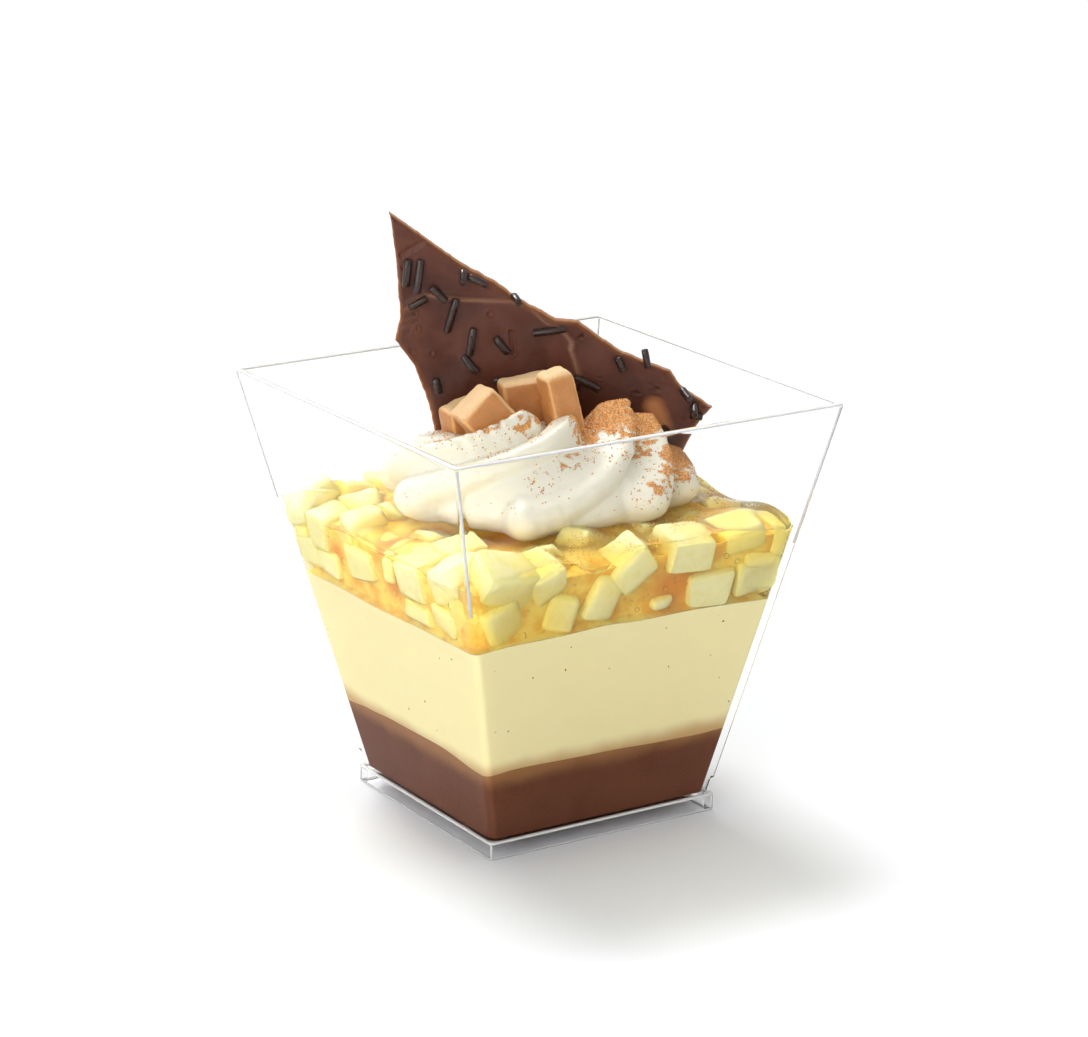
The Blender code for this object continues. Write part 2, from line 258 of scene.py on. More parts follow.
def custard():
    """Pale yellow custard, tanned along its foot, with faint mottling."""
    f = Finish("custard")
    wander = f.clouds(6 * MM, 2.0) * 1.6 * MM
    tanned = 1 - (f.height() - wander).between(CHOCOLATE_TOP - 1.4 * MM, CHOCOLATE_TOP + 2.2 * MM)
    mottled = f.clouds(5 * MM, 4.0, 0.6)
    pale = f.mix(mottled, (0.88, 0.78, 0.405), (0.91, 0.815, 0.45))
    colour = f.mix(tanned * 0.85, pale, (0.50, 0.27, 0.10))
    grain = f.clouds(0.7 * MM, 3.0)
    f.surface({
        "Base Color": colour, "Roughness": 0.40 + grain * 0.15, "Specular IOR Level": 0.08,
        "Normal": f.bump(grain, 0.02 * MM), **light_sinks_in(0.15, (1.0, 0.7, 0.3), 1.5 * MM),
    })
    return f.material


def fruit_jelly():
    """Clear golden jelly, wrinkled where nothing presses on it: it darkens to amber with depth."""
    f = Finish("fruit_jelly")
    wrinkles = f.clouds(2.4 * MM, 3.0, 0.6) * f.attribute("free")
    shader = f.surface({
        "Base Color": (1.0, 0.99, 0.96), "Roughness": 0.0, "IOR": 1.30, "Transmission Weight": 1.0,
        "Coat Weight": 0.4, "Coat Roughness": 0.07, "Normal": f.bump(wrinkles, 0.22 * MM),
    })
    f.lets_lamps_through(shader, (1.0, 0.99, 0.96))
    sockets = {"Color": (0.98, 0.88, 0.34), "Density": 300.0}
    depth = f.node("ShaderNodeVolumeAbsorption", None, sockets)
    f.tree.links.new(depth.socket, f.output.inputs["Volume"])
    return f.material


def diced_fruit():
    """Pale flesh, a little greener and glassier towards the edges of each die."""
    f = Finish("diced_fruit")
    ripeness = f.attribute("ripeness")
    edge = f.attribute("edge")
    fibres = f.clouds(1.6 * MM, 4.0, 0.6, 0.4)
    flesh = f.mix(ripeness, (0.96, 0.86, 0.36), (0.98, 0.93, 0.56))
    flesh = f.mix(fibres.between(0.4, 0.75) * 0.6, flesh, (0.88, 0.78, 0.25))
    colour = f.mix(edge * 0.40, flesh, (0.92, 0.90, 0.34))
    f.surface({
        "Base Color": colour, "Roughness": 0.28 + fibres * 0.15, "Specular IOR Level": 0.12,
        "Normal": f.bump(fibres, 0.14 * MM), **light_sinks_in(0.25, (1.0, 0.85, 0.4), 2.0 * MM),
    })
    return f.material


def jelly_core():
    """The deeper jelly, clouded with fruit: a glowing amber."""
    f = Finish("jelly_core")
    drift = f.clouds(5 * MM, 3.0, 0.6)
    gold = f.mix(drift.between(0.42, 0.66), (0.95, 0.79, 0.27), (0.84, 0.53, 0.11))
    colour = f.mix(f.attribute("amber"), gold, (0.72, 0.33, 0.030))
    f.surface({
        "Base Color": colour, "Roughness": 0.5, "Specular IOR Level": 0.1,
        **light_sinks_in(0.3, (1.0, 0.6, 0.2), 3.0 * MM),
    })
    return f.material


def whipped_cream():
    """Matt white cream with fine air holes, stained where the cinnamon lies thick."""
    f = Finish("whipped_cream")
    dusting = f.attribute("dusting")
    speckle = f.clouds(0.32 * MM, 3.0, 0.7)
    stain = (dusting * 1.1 + speckle * 1.9 - 1.6).between(0.0, 0.3)
    air = f.cells(0.5 * MM)
    froth = f.clouds(0.9 * MM, 4.0, 0.6)
    folds = f.clouds(5 * MM, 2.0)
    white = f.mix(folds, (0.77, 0.735, 0.58), (0.83, 0.80, 0.68))
    crumb = f.clouds(0.36 * MM, 3.0, 0.7)
    cinnamon = f.mix(crumb.between(0.38, 0.62), (0.90, 0.45, 0.125), (0.56, 0.21, 0.042))
    colour = f.mix(stain * 0.92, white, cinnamon)
    relief = froth * 0.7 + air * 0.3 + crumb * stain * 2.5
    f.surface({
        "Base Color": colour, "Roughness": 0.42 + stain * 0.4,
        "Normal": f.bump(relief, 0.06 * MM), **light_sinks_in(0.2, (1.0, 0.8, 0.55), 1.2 * MM),
    })
    return f.material


def ground_cinnamon():
    f = Finish("ground_cinnamon")
    shade = f.clouds(1.1 * MM, 2.0)
    colour = f.mix(shade, (0.42, 0.145, 0.026), (0.84, 0.40, 0.10))
    f.surface({"Base Color": colour, "Roughness": 0.85})
    return f.material


def toffee():
    """Soft toffee: amber sides, lighter along the worn edges, and paler on what faces up: a powdery
    bloom together with painted light from above.
    """
    f = Finish("toffee")
    bloom = f.attribute("bloom")
    edge = f.attribute("edge")
    grain = f.clouds(0.45 * MM, 4.0, 0.65)
    patches = f.clouds(2.5 * MM, 3.0, 0.6)
    amber = f.mix(patches, (0.48, 0.18, 0.047), (0.62, 0.28, 0.088))
    worn = f.mix(edge * 0.6, amber, (0.84, 0.50, 0.19))
    pale = f.mix(grain, (0.79, 0.47, 0.19), (0.91, 0.67, 0.40))
    # Paler where it faces up: part powdery bloom, part painted light from above.
    colour = f.mix((bloom + patches * 0.4 - 0.2).between(0.1, 0.9), worn, pale)
    f.surface({
        "Base Color": colour, "Roughness": 0.38 + bloom * 0.25 + grain * 0.1,
        "Normal": f.bump(grain, 0.16 * MM), **light_sinks_in(0.15, (1.0, 0.5, 0.2), 0.8 * MM),
    })
    return f.material


def shard_chocolate():
    """Milk chocolate with a soft sheen, lighter and warmer along its thin broken edge, with a
    painted pool of light near its lower right and a painted highlight along the seam's lip.
    """
    f = Finish("shard_chocolate")
    edge = f.attribute("edge")
    patches = f.clouds(11 * MM, 3.0, 0.55, 0.5)
    grain = f.clouds(0.5 * MM, 3.0)
    lit = f.attribute("lit")
    face = f.mix(patches.between(0.35, 0.65), (0.068, 0.019, 0.010), (0.122, 0.038, 0.021))
    # A painted pool of warm light on the face near its lower right.
    face = f.mix(lit, face, (0.62, 0.24, 0.085))
    # Painted highlight: the seam's raised lip made lighter where it catches the light.
    face = f.mix(f.attribute("lip") * 0.85, face, (0.36, 0.19, 0.125))
    warm = f.mix(edge.between(0.0, 0.55), face, (0.17, 0.055, 0.020))
    colour = f.mix(edge.between(0.5, 1.0), warm, (0.40, 0.17, 0.060))
    f.surface({
        "Base Color": colour, "Roughness": 0.26 + patches * 0.14 + grain * 0.05,
        "Specular IOR Level": 0.24, "Normal": f.bump(grain, 0.02 * MM),
    })
    return f.material


def sprinkle_chocolate():
    f = Finish("sprinkle_chocolate")
    streaks = f.clouds(0.7 * MM, 3.0)
    colour = f.mix(streaks, (0.016, 0.007, 0.005), (0.042, 0.020, 0.013))
    f.surface({"Base Color": colour, "Roughness": 0.20 + streaks * 0.2, "Specular IOR Level": 0.55})
    return f.material


def vanilla_seed():
    f = Finish("vanilla_seed")
    shade = f.clouds(2 * MM)
    colour = f.mix(shade, (0.060, 0.030, 0.012), (0.34, 0.22, 0.080))
    f.surface({"Base Color": colour, "Roughness": 0.6})
    return f.material


def air_bubble():
    f = Finish("air_bubble")
    shader = f.surface({
        "Base Color": (1.0, 1.0, 1.0), "Roughness": 0.0, "IOR": 0.86, "Transmission Weight": 1.0,
    })
    f.lets_lamps_through(shader, (1.0, 1.0, 1.0))
    return f.material


# ---------------------------------------------------------------- mesh helpers

# How far along a flat side its first point stands, which keeps the shading flat beyond it.
SIDE_END = 0.006


def linked(name, data):
    """A new object in the scene."""
    ob = bpy.data.objects.new(name, data)
    bpy.context.scene.collection.objects.link(ob)
    return ob


def arrays_of(bm):
    """The points and faces of a bmesh, which is then let go."""
    points = np.array([v.co for v in bm.verts])
    faces = [tuple(v.index for v in face.verts) for face in bm.faces]
    bm.free()
    return points, faces


def piece(name, points, faces, material, slot, replaces=(), sharp=180.0, **attributes):
    """A finished piece of the object: its mesh, its shading and where it belongs."""
    mesh = bpy.data.meshes.new(name)
    mesh.from_pydata(np.asarray(points).tolist(), [], faces)
    mesh.update()
    mesh.shade_smooth()
    if sharp < 180:
        mesh.set_sharp_from_angle(angle=math.radians(sharp))
    for key, values in attributes.items():
        layer = mesh.attributes.new(key, "FLOAT", "POINT")
        layer.data.foreach_set("value", np.asarray(values, np.float32))
    mesh.materials.append(material)
    ob = linked(name, mesh)
    belongs(ob, replaces)
    return ob


def belongs(ob, replaces=()):
    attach(ob, "root")
    if replaces:
        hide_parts(*replaces)


def bands(rings, count, first=0):
    """Faces between rings of count points each, stored one after another."""
    faces = []
    for k in range(rings - 1):
        low = first + k * count
        high = low + count
        for i in range(count):
            j = (i + 1) % count
            faces.append((low + i, low + j, high + j, high + i))
    return faces


def fan(centre, ring, count, upwards):
    """Faces from a centre point to a ring round it."""
    faces = []
    for i in range(count):
        j = (i + 1) % count
        faces.append((centre, ring + i, ring + j) if upwards else (centre, ring + j, ring + i))
    return faces


def closed(rings, count):
    """Faces of rings closed by two centre points stored after them, the first ring's first."""
    total = rings * count
    faces = bands(rings, count)
    faces += fan(total, 0, count, upwards=False)
    faces += fan(total + 1, total - count, count, upwards=True)
    return faces


def wall_half(z):
    """Half the tumbler's outer width at height z, above the foot."""
    rise = (z - FOOT_HEIGHT) / (CUP_HEIGHT - RIM_CHAMFER - FOOT_HEIGHT)
    return (WALL_START_WIDTH + (RIM_WIDTH - WALL_START_WIDTH) * rise) / 2


def wall_corner(z):
    rise = (z - STEP_Z) / (CUP_HEIGHT - STEP_Z)
    return np.where(z <= STEP_Z, STEP_CORNER, LOW_CORNER + (RIM_CORNER - LOW_CORNER) * rise)


def outline(side_points, corner_points):
    """Ways round a rounded square: which corner circle, and which way out of its centre."""
    ways = []
    for quarter in range(4):
        facing = math.radians(90 * quarter - 45)
        corner = Vector((math.cos(facing), math.sin(facing))) * math.sqrt(2)
        after = Vector((-corner.y, corner.x))
        for i in range(corner_points + 1):
            turn = facing + math.radians(90) * (i / corner_points - 0.5)
            ways.append((corner.x, corner.y, math.cos(turn), math.sin(turn)))
        out = (math.cos(facing + math.pi / 4), math.sin(facing + math.pi / 4))
        shares = [i / side_points for i in range(1, side_points)]
        for share in (SIDE_END, *shares, 1 - SIDE_END):
            along = corner.lerp(after, share)
            ways.append((along.x, along.y, *out))
    return np.array(ways)


def rounded_ring(ways, half, corner, z):
    """Points along an outline of this half width, with these corners, at height z."""
    half, corner, z = (np.broadcast_to(v, len(ways)) for v in (half, corner, z))
    x = (half - corner) * ways[:, 0] + corner * ways[:, 2]
    y = (half - corner) * ways[:, 1] + corner * ways[:, 3]
    return np.stack([x, y, z], -1)


def inner_ring(ways, z, inset=0.0):
    return rounded_ring(ways, wall_half(z) - WALL - inset, INNER_CORNER, z)


def moved_by(points, place):
    """Points turned and moved by a matrix."""
    return points @ np.array(place.to_3x3()).T + np.array(place.translation)


def noise_at(points, size, seed=0.0):
    """Smooth noise of -1 to 1 at each point."""
    shift = Vector((seed, seed * 0.7, -seed))
    return np.array([noise.noise(Vector(p) / size + shift) for p in points])


# ---------------------------------------------------------------- the tumbler

TUMBLER_SIDE = 6
TUMBLER_TURN = 14
EDGE_STEPS = 5
SOFT_EDGE = 0.25 * MM


def edge_profile(outer, inner, z):
    """A rounded edge between two half widths: half width and height at each step."""
    middle = (outer + inner) / 2
    radius = abs(outer - inner) / 2
    steps = []
    for i in range(EDGE_STEPS + 1):
        turn = math.pi * i / EDGE_STEPS
        half = middle + (outer - middle) * math.cos(turn)
        steps.append((half, z + radius * math.sin(turn)))
    return steps


def make_tumbler(material):
    """One clear moulding: the foot skirt, the leaning walls and the floor, with soft edges."""
    ways = outline(TUMBLER_SIDE, TUMBLER_TURN)
    foot = FOOT_WIDTH / 2
    recess = foot - WALL
    soft = SOFT_EDGE
    rings = []

    def ring(half, corner, z):
        rings.append(rounded_ring(ways, half, float(corner), z))

    ceiling = FLOOR_Z - FLOOR
    ring(recess - soft, FOOT_CORNER, ceiling)
    ring(recess - soft * 0.3, FOOT_CORNER, ceiling - soft * 0.3)
    ring(recess, FOOT_CORNER, ceiling - soft)
    ring(recess, FOOT_CORNER, soft)
    ring(recess + soft * 0.3, FOOT_CORNER, soft * 0.3)
    ring(recess + soft, FOOT_CORNER, 0.0)
    ring(foot - soft, FOOT_CORNER, 0.0)
    ring(foot - soft * 0.3, FOOT_CORNER, soft * 0.3)
    ring(foot, FOOT_CORNER, soft)
    ring(foot, FOOT_CORNER, FOOT_HEIGHT - soft)
    ring(foot - soft * 0.12, FOOT_CORNER, FOOT_HEIGHT - soft * 0.4)
    ring(wall_half(FOOT_HEIGHT + soft * 0.2), STEP_CORNER, FOOT_HEIGHT + soft * 0.2)
    brim = CUP_HEIGHT - WALL / 2
    above_step = STEP_Z + STEP_RISE
    for z in (FOOT_HEIGHT + soft, STEP_Z, above_step, above_step + soft, brim - soft, brim):
        ring(wall_half(z), wall_corner(z), z)
    for half, z in edge_profile(wall_half(brim), wall_half(brim) - WALL, brim)[1:-1]:
        ring(half, RIM_CORNER, z)
    for z in (brim, brim - soft, above_step + soft, above_step, STEP_Z, FLOOR_Z + soft):
        ring(wall_half(z) - WALL, INNER_CORNER, z)
    bottom = wall_half(FLOOR_Z) - WALL
    ring(bottom - soft * 0.3, INNER_CORNER, FLOOR_Z + soft * 0.3)
    ring(bottom - soft, INNER_CORNER, FLOOR_Z)
    points = list(np.concatenate(rings)) + [(0, 0, ceiling), (0, 0, FLOOR_Z)]
    faces = closed(len(rings), len(ways))
    return piece("clear_tumbler", points, faces, material, "clear_plastic", ["cup"], sharp=35)


# Painted highlights for the pale light lines its moulded edges show: half width, height and radius
# of a bead just within.
BEAD_SIDES = 8
EDGE_LIGHT_BEADS = (
    (RIM_WIDTH / 2 - WALL / 2, CUP_HEIGHT - 0.34 * MM, 0.44 * MM, 0.20 * MM),
    (FOOT_WIDTH / 2 - 0.40 * MM, FOOT_HEIGHT - 0.24 * MM, 0.36 * MM, 0.22 * MM),
    (FOOT_WIDTH / 2 - 0.20 * MM, 0.22 * MM, 0.12 * MM, 0.12 * MM),
)
# And those up its corners: which corner, how far in from it, from which height to which, radius.
CORNERS = FRONT, RIGHT, BACK, LEFT = (-1, -1), (1, -1), (1, 1), (-1, 1)
BEAD_TOP = CUP_HEIGHT - 0.8 * MM
CORNER_LIGHT_BEADS = [
    (FRONT, 0.55 * MM, 45.5 * MM, BEAD_TOP, 0.26 * MM),
    (RIGHT, 0.52 * MM, 48.0 * MM, BEAD_TOP, 0.20 * MM),
    (BACK, 0.52 * MM, 50.0 * MM, BEAD_TOP, 0.20 * MM),
    (LEFT, 0.52 * MM, 50.0 * MM, BEAD_TOP, 0.20 * MM),
]
CORNER_LIGHT_BEADS += [
    (corner, 0.42 * MM, 0.3 * MM, FOOT_HEIGHT - 0.3 * MM, 0.16 * MM) for corner in CORNERS
]


def make_painted_edge_lights(material):
    """Painted highlights: thin pale beads inside the rim, the foot's edges and the corners, in
    place of the light lines there.
    """
    ways = outline(2, 4)
    count = len(ways)
    points, faces = [], []
    for half, z, width, height in EDGE_LIGHT_BEADS:
        first = sum(len(ring) for ring in points)
        for k in range(BEAD_SIDES):
            turn = math.tau * k / BEAD_SIDES
            reach, level = half + width * math.cos(turn), z + height * math.sin(turn)
            points.append(rounded_ring(ways, reach, FOOT_CORNER, level))
        faces += bands(BEAD_SIDES, count, first)
        last = first + (BEAD_SIDES - 1) * count
        for i in range(count):
            j = (i + 1) % count
            faces.append((last + i, last + j, first + j, first + i))
    turns = np.arange(BEAD_SIDES) * math.tau / BEAD_SIDES
    for (x, y), inset, low, high, radius in CORNER_LIGHT_BEADS:
        first = sum(len(ring) for ring in points)
        for z in (low, high):
            half = (wall_half(z) if low > FOOT_HEIGHT else FOOT_WIDTH / 2) - inset
            round_x, round_y = half * x + radius * np.cos(turns), half * y + radius * np.sin(turns)
            points.append(np.stack([round_x, round_y, np.full(BEAD_SIDES, z)], -1))
        faces += bands(2, BEAD_SIDES, first)
        faces.append(tuple(first + BEAD_SIDES - 1 - k for k in range(BEAD_SIDES)))
        faces.append(tuple(first + BEAD_SIDES + k for k in range(BEAD_SIDES)))
    piece("pale_edges", np.concatenate(points), faces, material, "clear_plastic")


# ---------------------------------------------------------------- the layers

LAYER_SIDE = 60
LAYER_TURN = 8
LAYER_ROWS = 10
LAYER_RINGS = 26


def eased_line(line, along):
    """A height read off a line of points, level at each of them."""
    places, heights = column(line, 0), column(line, 1)
    at = np.clip(np.searchsorted(places, along) - 1, 0, len(places) - 2)
    share = np.clip((along - places[at]) / (places[at + 1] - places[at]), 0, 1)
    share = share * share * (3 - 2 * share)
    return heights[at] + (heights[at + 1] - heights[at]) * share


def met_at_walls(points, z, inner, back, left_line, right_line, spread):
    """A surface that follows given lines along the walls and its own height within."""
    x, y = points[:, 0], points[:, 1]
    reach = wall_half(z) - WALL
    lines = (
        (reach + x, eased_line(left_line, -y)), (reach + y, eased_line(right_line, x)),
        (reach - x, back), (reach - y, back),
    )
    weights = [np.exp(-((np.maximum(d, 0) / spread) ** 2)) for d, _ in lines]
    total = np.maximum(sum(w**4 for w in weights), 1e-12)
    wall = sum(w**4 * line for w, (_, line) in zip(weights, lines)) / total
    return inner + (wall - inner) * np.maximum.reduce(weights)


def layer_level(z, points, left_line, right_line):
    """The gently uneven surface between two layers."""
    x, y = points[:, 0], points[:, 1]
    swell = 0.4 * MM * np.sin(x / (11 * MM) + 0.6) + 0.3 * MM * np.cos(y / (9 * MM) - 0.4)
    return met_at_walls(points, z, z + swell, z + swell, left_line, right_line, 7 * MM)


def chocolate_level(points):
    return layer_level(CHOCOLATE_TOP, points, CHOCOLATE_LINE_LEFT, CHOCOLATE_LINE_RIGHT)


def custard_level(points):
    return layer_level(CUSTARD_TOP, points, CUSTARD_LINE_LEFT, CUSTARD_LINE_RIGHT)


def filled(ways, low, high, rows, ring_count, inset=-REACH_INTO_WALL, foot_inset=None):
    """A body between two uneven surfaces that fills the tumbler out to just inside its wall."""
    foot_inset = inset if foot_inset is None else foot_inset
    count = len(ways)
    start = inner_ring(ways, np.full(count, 0.5 * (CHOCOLATE_TOP + CUSTARD_TOP)))
    bottoms, tops = low(start), high(start)
    for _ in range(3):
        bottoms = low(inner_ring(ways, bottoms))
        tops = high(inner_ring(ways, tops))
    rings = []
    shares = 1 - np.arange(1, ring_count) / ring_count
    foot = inner_ring(ways, bottoms, foot_inset)
    brim = inner_ring(ways, tops, inset)
    for share in shares[::-1]:
        ring = foot * (share, share, 1)
        ring[:, 2] = low(ring)
        rings.append(ring)
    for row in range(rows + 1):
        z = bottoms + (tops - bottoms) * row / rows
        rings.append(inner_ring(ways, z, foot_inset if row == 0 else inset))
    for share in shares:
        ring = brim * (share, share, 1)
        ring[:, 2] = high(ring)
        rings.append(ring)
    middle = np.zeros((1, 3))
    points = list(np.concatenate(rings)) + [(0, 0, low(middle)[0]), (0, 0, high(middle)[0])]
    return points, closed(len(rings), count)


def make_layers(chocolate, yellow):
    """The two smooth layers. The custard is handed back for its specks."""
    ways = outline(LAYER_SIDE, LAYER_TURN)

    def floor(points):
        return np.full(len(points), FLOOR_Z - REACH_INTO_WALL)

    def layer(node, low, high, material, slot):
        points, faces = filled(ways, low, high, LAYER_ROWS, LAYER_RINGS)
        return piece(node + "_set", points, faces, material, slot, [node], sharp=50)

    layer("chocolate_layer", floor, chocolate_level, chocolate, "set_chocolate")
    return layer("custard_layer", chocolate_level, custard_level, yellow, "custard")


# ---------------------------------------------------------------- the diced fruit

DIE_EDGE = 1.1 * MM
DIE_CUTS = 4
WALL_SLOPE = (RIM_WIDTH - WALL_START_WIDTH) / 2 / (CUP_HEIGHT - RIM_CHAMFER - FOOT_HEIGHT)
LEFT_WALL, RIGHT_WALL, BACK_RIGHT_WALL, BACK_LEFT_WALL = -90, 0, 90, 180

# Dice that lie against the two front walls. Along the wall and up, width, height, then roll in
# the wall's plane, yaw and pitch, and how far off the wall.
DICE_LEFT = (
    (-27.5, 42.8, 4.6, 7.4, 4, 8, 0, 0.6), (-28.0, 49.6, 6.0, 5.0, -6, 12, 10, 0.8),
    (-19.8, 46.4, 6.6, 6.4, 4, 0, 0, 0.0), (-18.0, 41.2, 7.0, 4.6, -4, 0, 0, 0.1),
    (-10.7, 48.6, 5.6, 5.0, 6, -10, 8, 0.6), (-6.2, 44.4, 9.0, 5.8, -3, 0, 0, 0.0),
    (2.4, 45.4, 3.2, 4.4, 4, 20, 0, 0.4), (10.0, 45.7, 8.8, 6.4, -5, 0, 0, 0.0),
    (11.0, 40.6, 8.6, 4.0, 3, 0, 0, 0.5), (20.6, 48.0, 7.6, 6.6, -8, 6, 6, 0.0),
    (19.6, 41.4, 6.6, 4.8, 4, -6, 0, 0.1),
)
DICE_RIGHT = (
    (-22.6, 48.6, 9.6, 6.2, 12, 0, 16, 0.0), (-15.6, 48.6, 6.4, 6.0, -30, 6, 10, 0.0),
    (-24.0, 42.6, 7.4, 7.0, -24, 16, 8, 0.0), (-11.8, 42.6, 6.2, 6.8, 14, -10, 0, 0.0),
    (-4.9, 43.4, 6.6, 7.8, 20, 8, 0, 0.2), (0.5, 47.8, 8.0, 5.9, -37, 0, 0, 0.0),
    (6.4, 40.8, 4.0, 2.4, 5, 0, 0, 0.3), (11.4, 48.7, 9.2, 6.4, 4, 0, 0, 0.0),
    (16.0, 41.9, 8.6, 6.2, 3, 0, 0, 0.0), (24.8, 42.3, 6.9, 5.8, 2, 0, 0, 0.0),
    (22.3, 48.9, 9.0, 4.6, -7, 0, 0, 1.4), (29.0, 47.4, 4.0, 5.2, 0, 0, 0, 1.6),
)
DIE_DEPTH = 7.0 * MM
DIE_REACH = 0.10 * MM
DIE_WARP = 0.75 * MM
BACK_DICE = 7
INNER_DICE = 6
INNER_SPACING = 7.968 * MM
CLEAR_MIDDLE = 12 * MM
DICE_SEED = 11


def wall_frame(heading, along, z):
    """Axes along a wall, into the food and up the wall, at a point on its inner face."""
    turn = math.radians(heading)
    along_axis = Vector((math.cos(turn), math.sin(turn), 0))
    outwards = Vector((math.sin(turn), -math.cos(turn), 0))
    up_axis = (outwards * WALL_SLOPE + Vector((0, 0, 1))).normalized()
    in_axis = up_axis.cross(along_axis)
    place = along_axis * along + outwards * (wall_half(z) - WALL) + Vector((0, 0, z))
    frame_axes = Matrix((along_axis, in_axis, up_axis)).transposed().to_4x4()
    return Matrix.Translation(place) @ frame_axes


def rounded_block(size, edge, cuts):
    """Points and faces of a block with round edges, and how near each point is to an edge."""
    bm = bmesh.new()
    bmesh.ops.create_cube(bm, size=2.0)
    bmesh.ops.subdivide_edges(bm, edges=bm.edges[:], cuts=cuts, use_grid_fill=True)
    points, faces = arrays_of(bm)
    half = np.array(size) / 2
    spaced = np.sign(points) * np.abs(points) ** 0.8
    flat = spaced * half
    core = np.clip(flat, -(half - edge), half - edge)
    out = flat - core
    length = np.linalg.norm(out, axis=1)
    rounded = core + out / np.maximum(length, 1e-9)[:, None] * edge
    near_edge = (np.sort(np.abs(spaced), axis=1)[:, 1] > 0.82).astype(float)
    return rounded, faces, near_edge


def warped(points, size, amount, rng):
    """The block with its eight corners moved at random, so that no two are alike."""
    shares = points / np.array(size) + 0.5
    moved = points.copy()
    for corner in range(8):
        pick = np.array([(corner >> axis) & 1 for axis in range(3)])
        weight = np.prod(np.where(pick, shares, 1 - shares), axis=1)
        moved += weight[:, None] * rng.uniform(-amount, amount, 3)
    return moved


class Dice:
    """The dice so far: their joined mesh, and each one's box for the jelly to drape over."""

    def __init__(self):
        self.rng = np.random.default_rng(DICE_SEED)
        self.points, self.faces, self.edges, self.ripeness, self.boxes = [], [], [], [], []

    def add(self, size, place):
        block, faces, near_edge = rounded_block(size, DIE_EDGE, DIE_CUTS)
        block = moved_by(warped(block, size, DIE_WARP, self.rng), place)
        first = sum(len(p) for p in self.points)
        limit = (wall_half(block[:, 2]) - WALL + DIE_REACH)[:, None]
        block[:, :2] = np.clip(block[:, :2], -limit, limit)
        self.points.append(block)
        self.faces += [tuple(first + i for i in face) for face in faces]
        self.edges.append(near_edge)
        self.ripeness.append(np.full(len(block), self.rng.uniform()))
        turned, centre = np.array(place.to_3x3()), np.array(place.translation)
        self.boxes.append((np.array(size) / 2, turned, centre))

    def add_at_wall(self, heading, spec):
        along, z, width, height, roll, yaw, pitch, off = spec
        size = Vector((width * MM, DIE_DEPTH, height * MM))
        turns = Euler([math.radians(a) for a in (pitch, roll, yaw)], "YXZ").to_matrix().to_4x4()
        reach = sum(abs(turns[1][axis]) * size[axis] / 2 for axis in range(3))
        inwards = Matrix.Translation((0, reach + off * MM - REACH_INTO_WALL * 1.6, 0))
        self.add(size, wall_frame(heading, along * MM, z * MM) @ inwards @ turns)


def make_dice(material):
    """Loose dice against all four walls, and more within, clear of the sunk middle."""
    dice = Dice()
    for heading, specs in ((LEFT_WALL, DICE_LEFT), (RIGHT_WALL, DICE_RIGHT)):
        for spec in specs:
            dice.add_at_wall(heading, spec)
    rng = dice.rng
    for heading in (BACK_RIGHT_WALL, BACK_LEFT_WALL):
        for row, height in enumerate((42.0, 48.0)):
            for i in range(BACK_DICE):
                along = (i - (BACK_DICE - 1) / 2) * 8.6 + rng.uniform(-1.2, 1.2) + row * 2.5
                spec = (
                    min(along, 27), height + rng.uniform(-0.8, 0.8), rng.uniform(6, 8.4),
                    rng.uniform(5, 6.6), rng.uniform(-24, 24), rng.uniform(-9, 9), 0, 0.0,
                )
                dice.add_at_wall(heading, spec)
    for i in range(INNER_DICE):
        for j in range(INNER_DICE):
            x = (i - (INNER_DICE - 1) / 2) * INNER_SPACING
            y = (j - (INNER_DICE - 1) / 2) * INNER_SPACING
            if max(abs(x), abs(y)) < CLEAR_MIDDLE:
                continue
            for z in (42.5 * MM, 48.3 * MM):
                if z > 45 * MM and min(x, y) < 0 and (i + j) % 3 == 0:
                    continue
                centre = Vector((x, y, z)) + Vector(rng.uniform(-1.3, 1.3, 3)) * MM
                size = Vector(rng.uniform(5.6, 7.6, 3)) * MM
                turn = Euler(rng.uniform(-0.5, 0.5, 3)).to_matrix().to_4x4()
                dice.add(size, Matrix.Translation(centre) @ turn)
    piece(
        "diced_fruit", np.concatenate(dice.points), dice.faces, material, "fruit_jelly", sharp=50,
        ripeness=np.concatenate(dice.ripeness), edge=np.concatenate(dice.edges),
    )
    return dice


# ---------------------------------------------------------------- the jelly

JELLY_SIDE = 110
JELLY_TURN = 8
JELLY_ROWS = 16
JELLY_RINGS = 64
FILM = 0.6 * MM
FILM_SPREAD = 1.35 * MM
MENISCUS = 2.6 * MM
CORE_INSET = 1.9 * MM
CORE_FOOT_INSET = 0.3 * MM
CORE_DEPTH = 1.7 * MM
# Where the core is deepest in colour: place and reach, in mm.
AMBER_SPOTS = (
    (8.8, -28.0, 43.2, 4.5), (11.0, -28.0, 46.5, 3.0), (-20.5, -3.0, 49.5, 4.5),
    (-26.0, 0.6, 49.5, 4.0), (-14.4, -10.7, 49.5, 5.5), (-28.0, -3.6, 44.0, 3.5),
    (-28.0, 15.0, 44.0, 2.5),
)


def rough_level(x, y):
    """The fruit's rolling surface away from the walls."""
    mound = 1.2 * MM * np.exp(-(x * x + y * y) / (2 * (20 * MM) ** 2))
    rolls = 0.8 * MM * np.sin(x / (3.1 * MM) + 0.8) * np.cos(y / (2.8 * MM) - 0.5)
    return FRUIT_LEVEL + 0.030 * x + mound + rolls - 0.2 * MM


def box_top(box, x, y):
    """How high a turned box reaches above each point, or minus infinity beside it."""
    half, turned, centre = box
    start = np.stack([x - centre[0], y - centre[1], -np.full_like(x, centre[2])], -1) @ turned
    way = turned[2]
    way = np.where(np.abs(way) < 1e-9, 1e-9, way)
    first, second = (-half - start) / way, (half - start) / way
    near = np.minimum(first, second).max(-1)
    far = np.maximum(first, second).min(-1)
    return np.where(far > near, far, -np.inf)


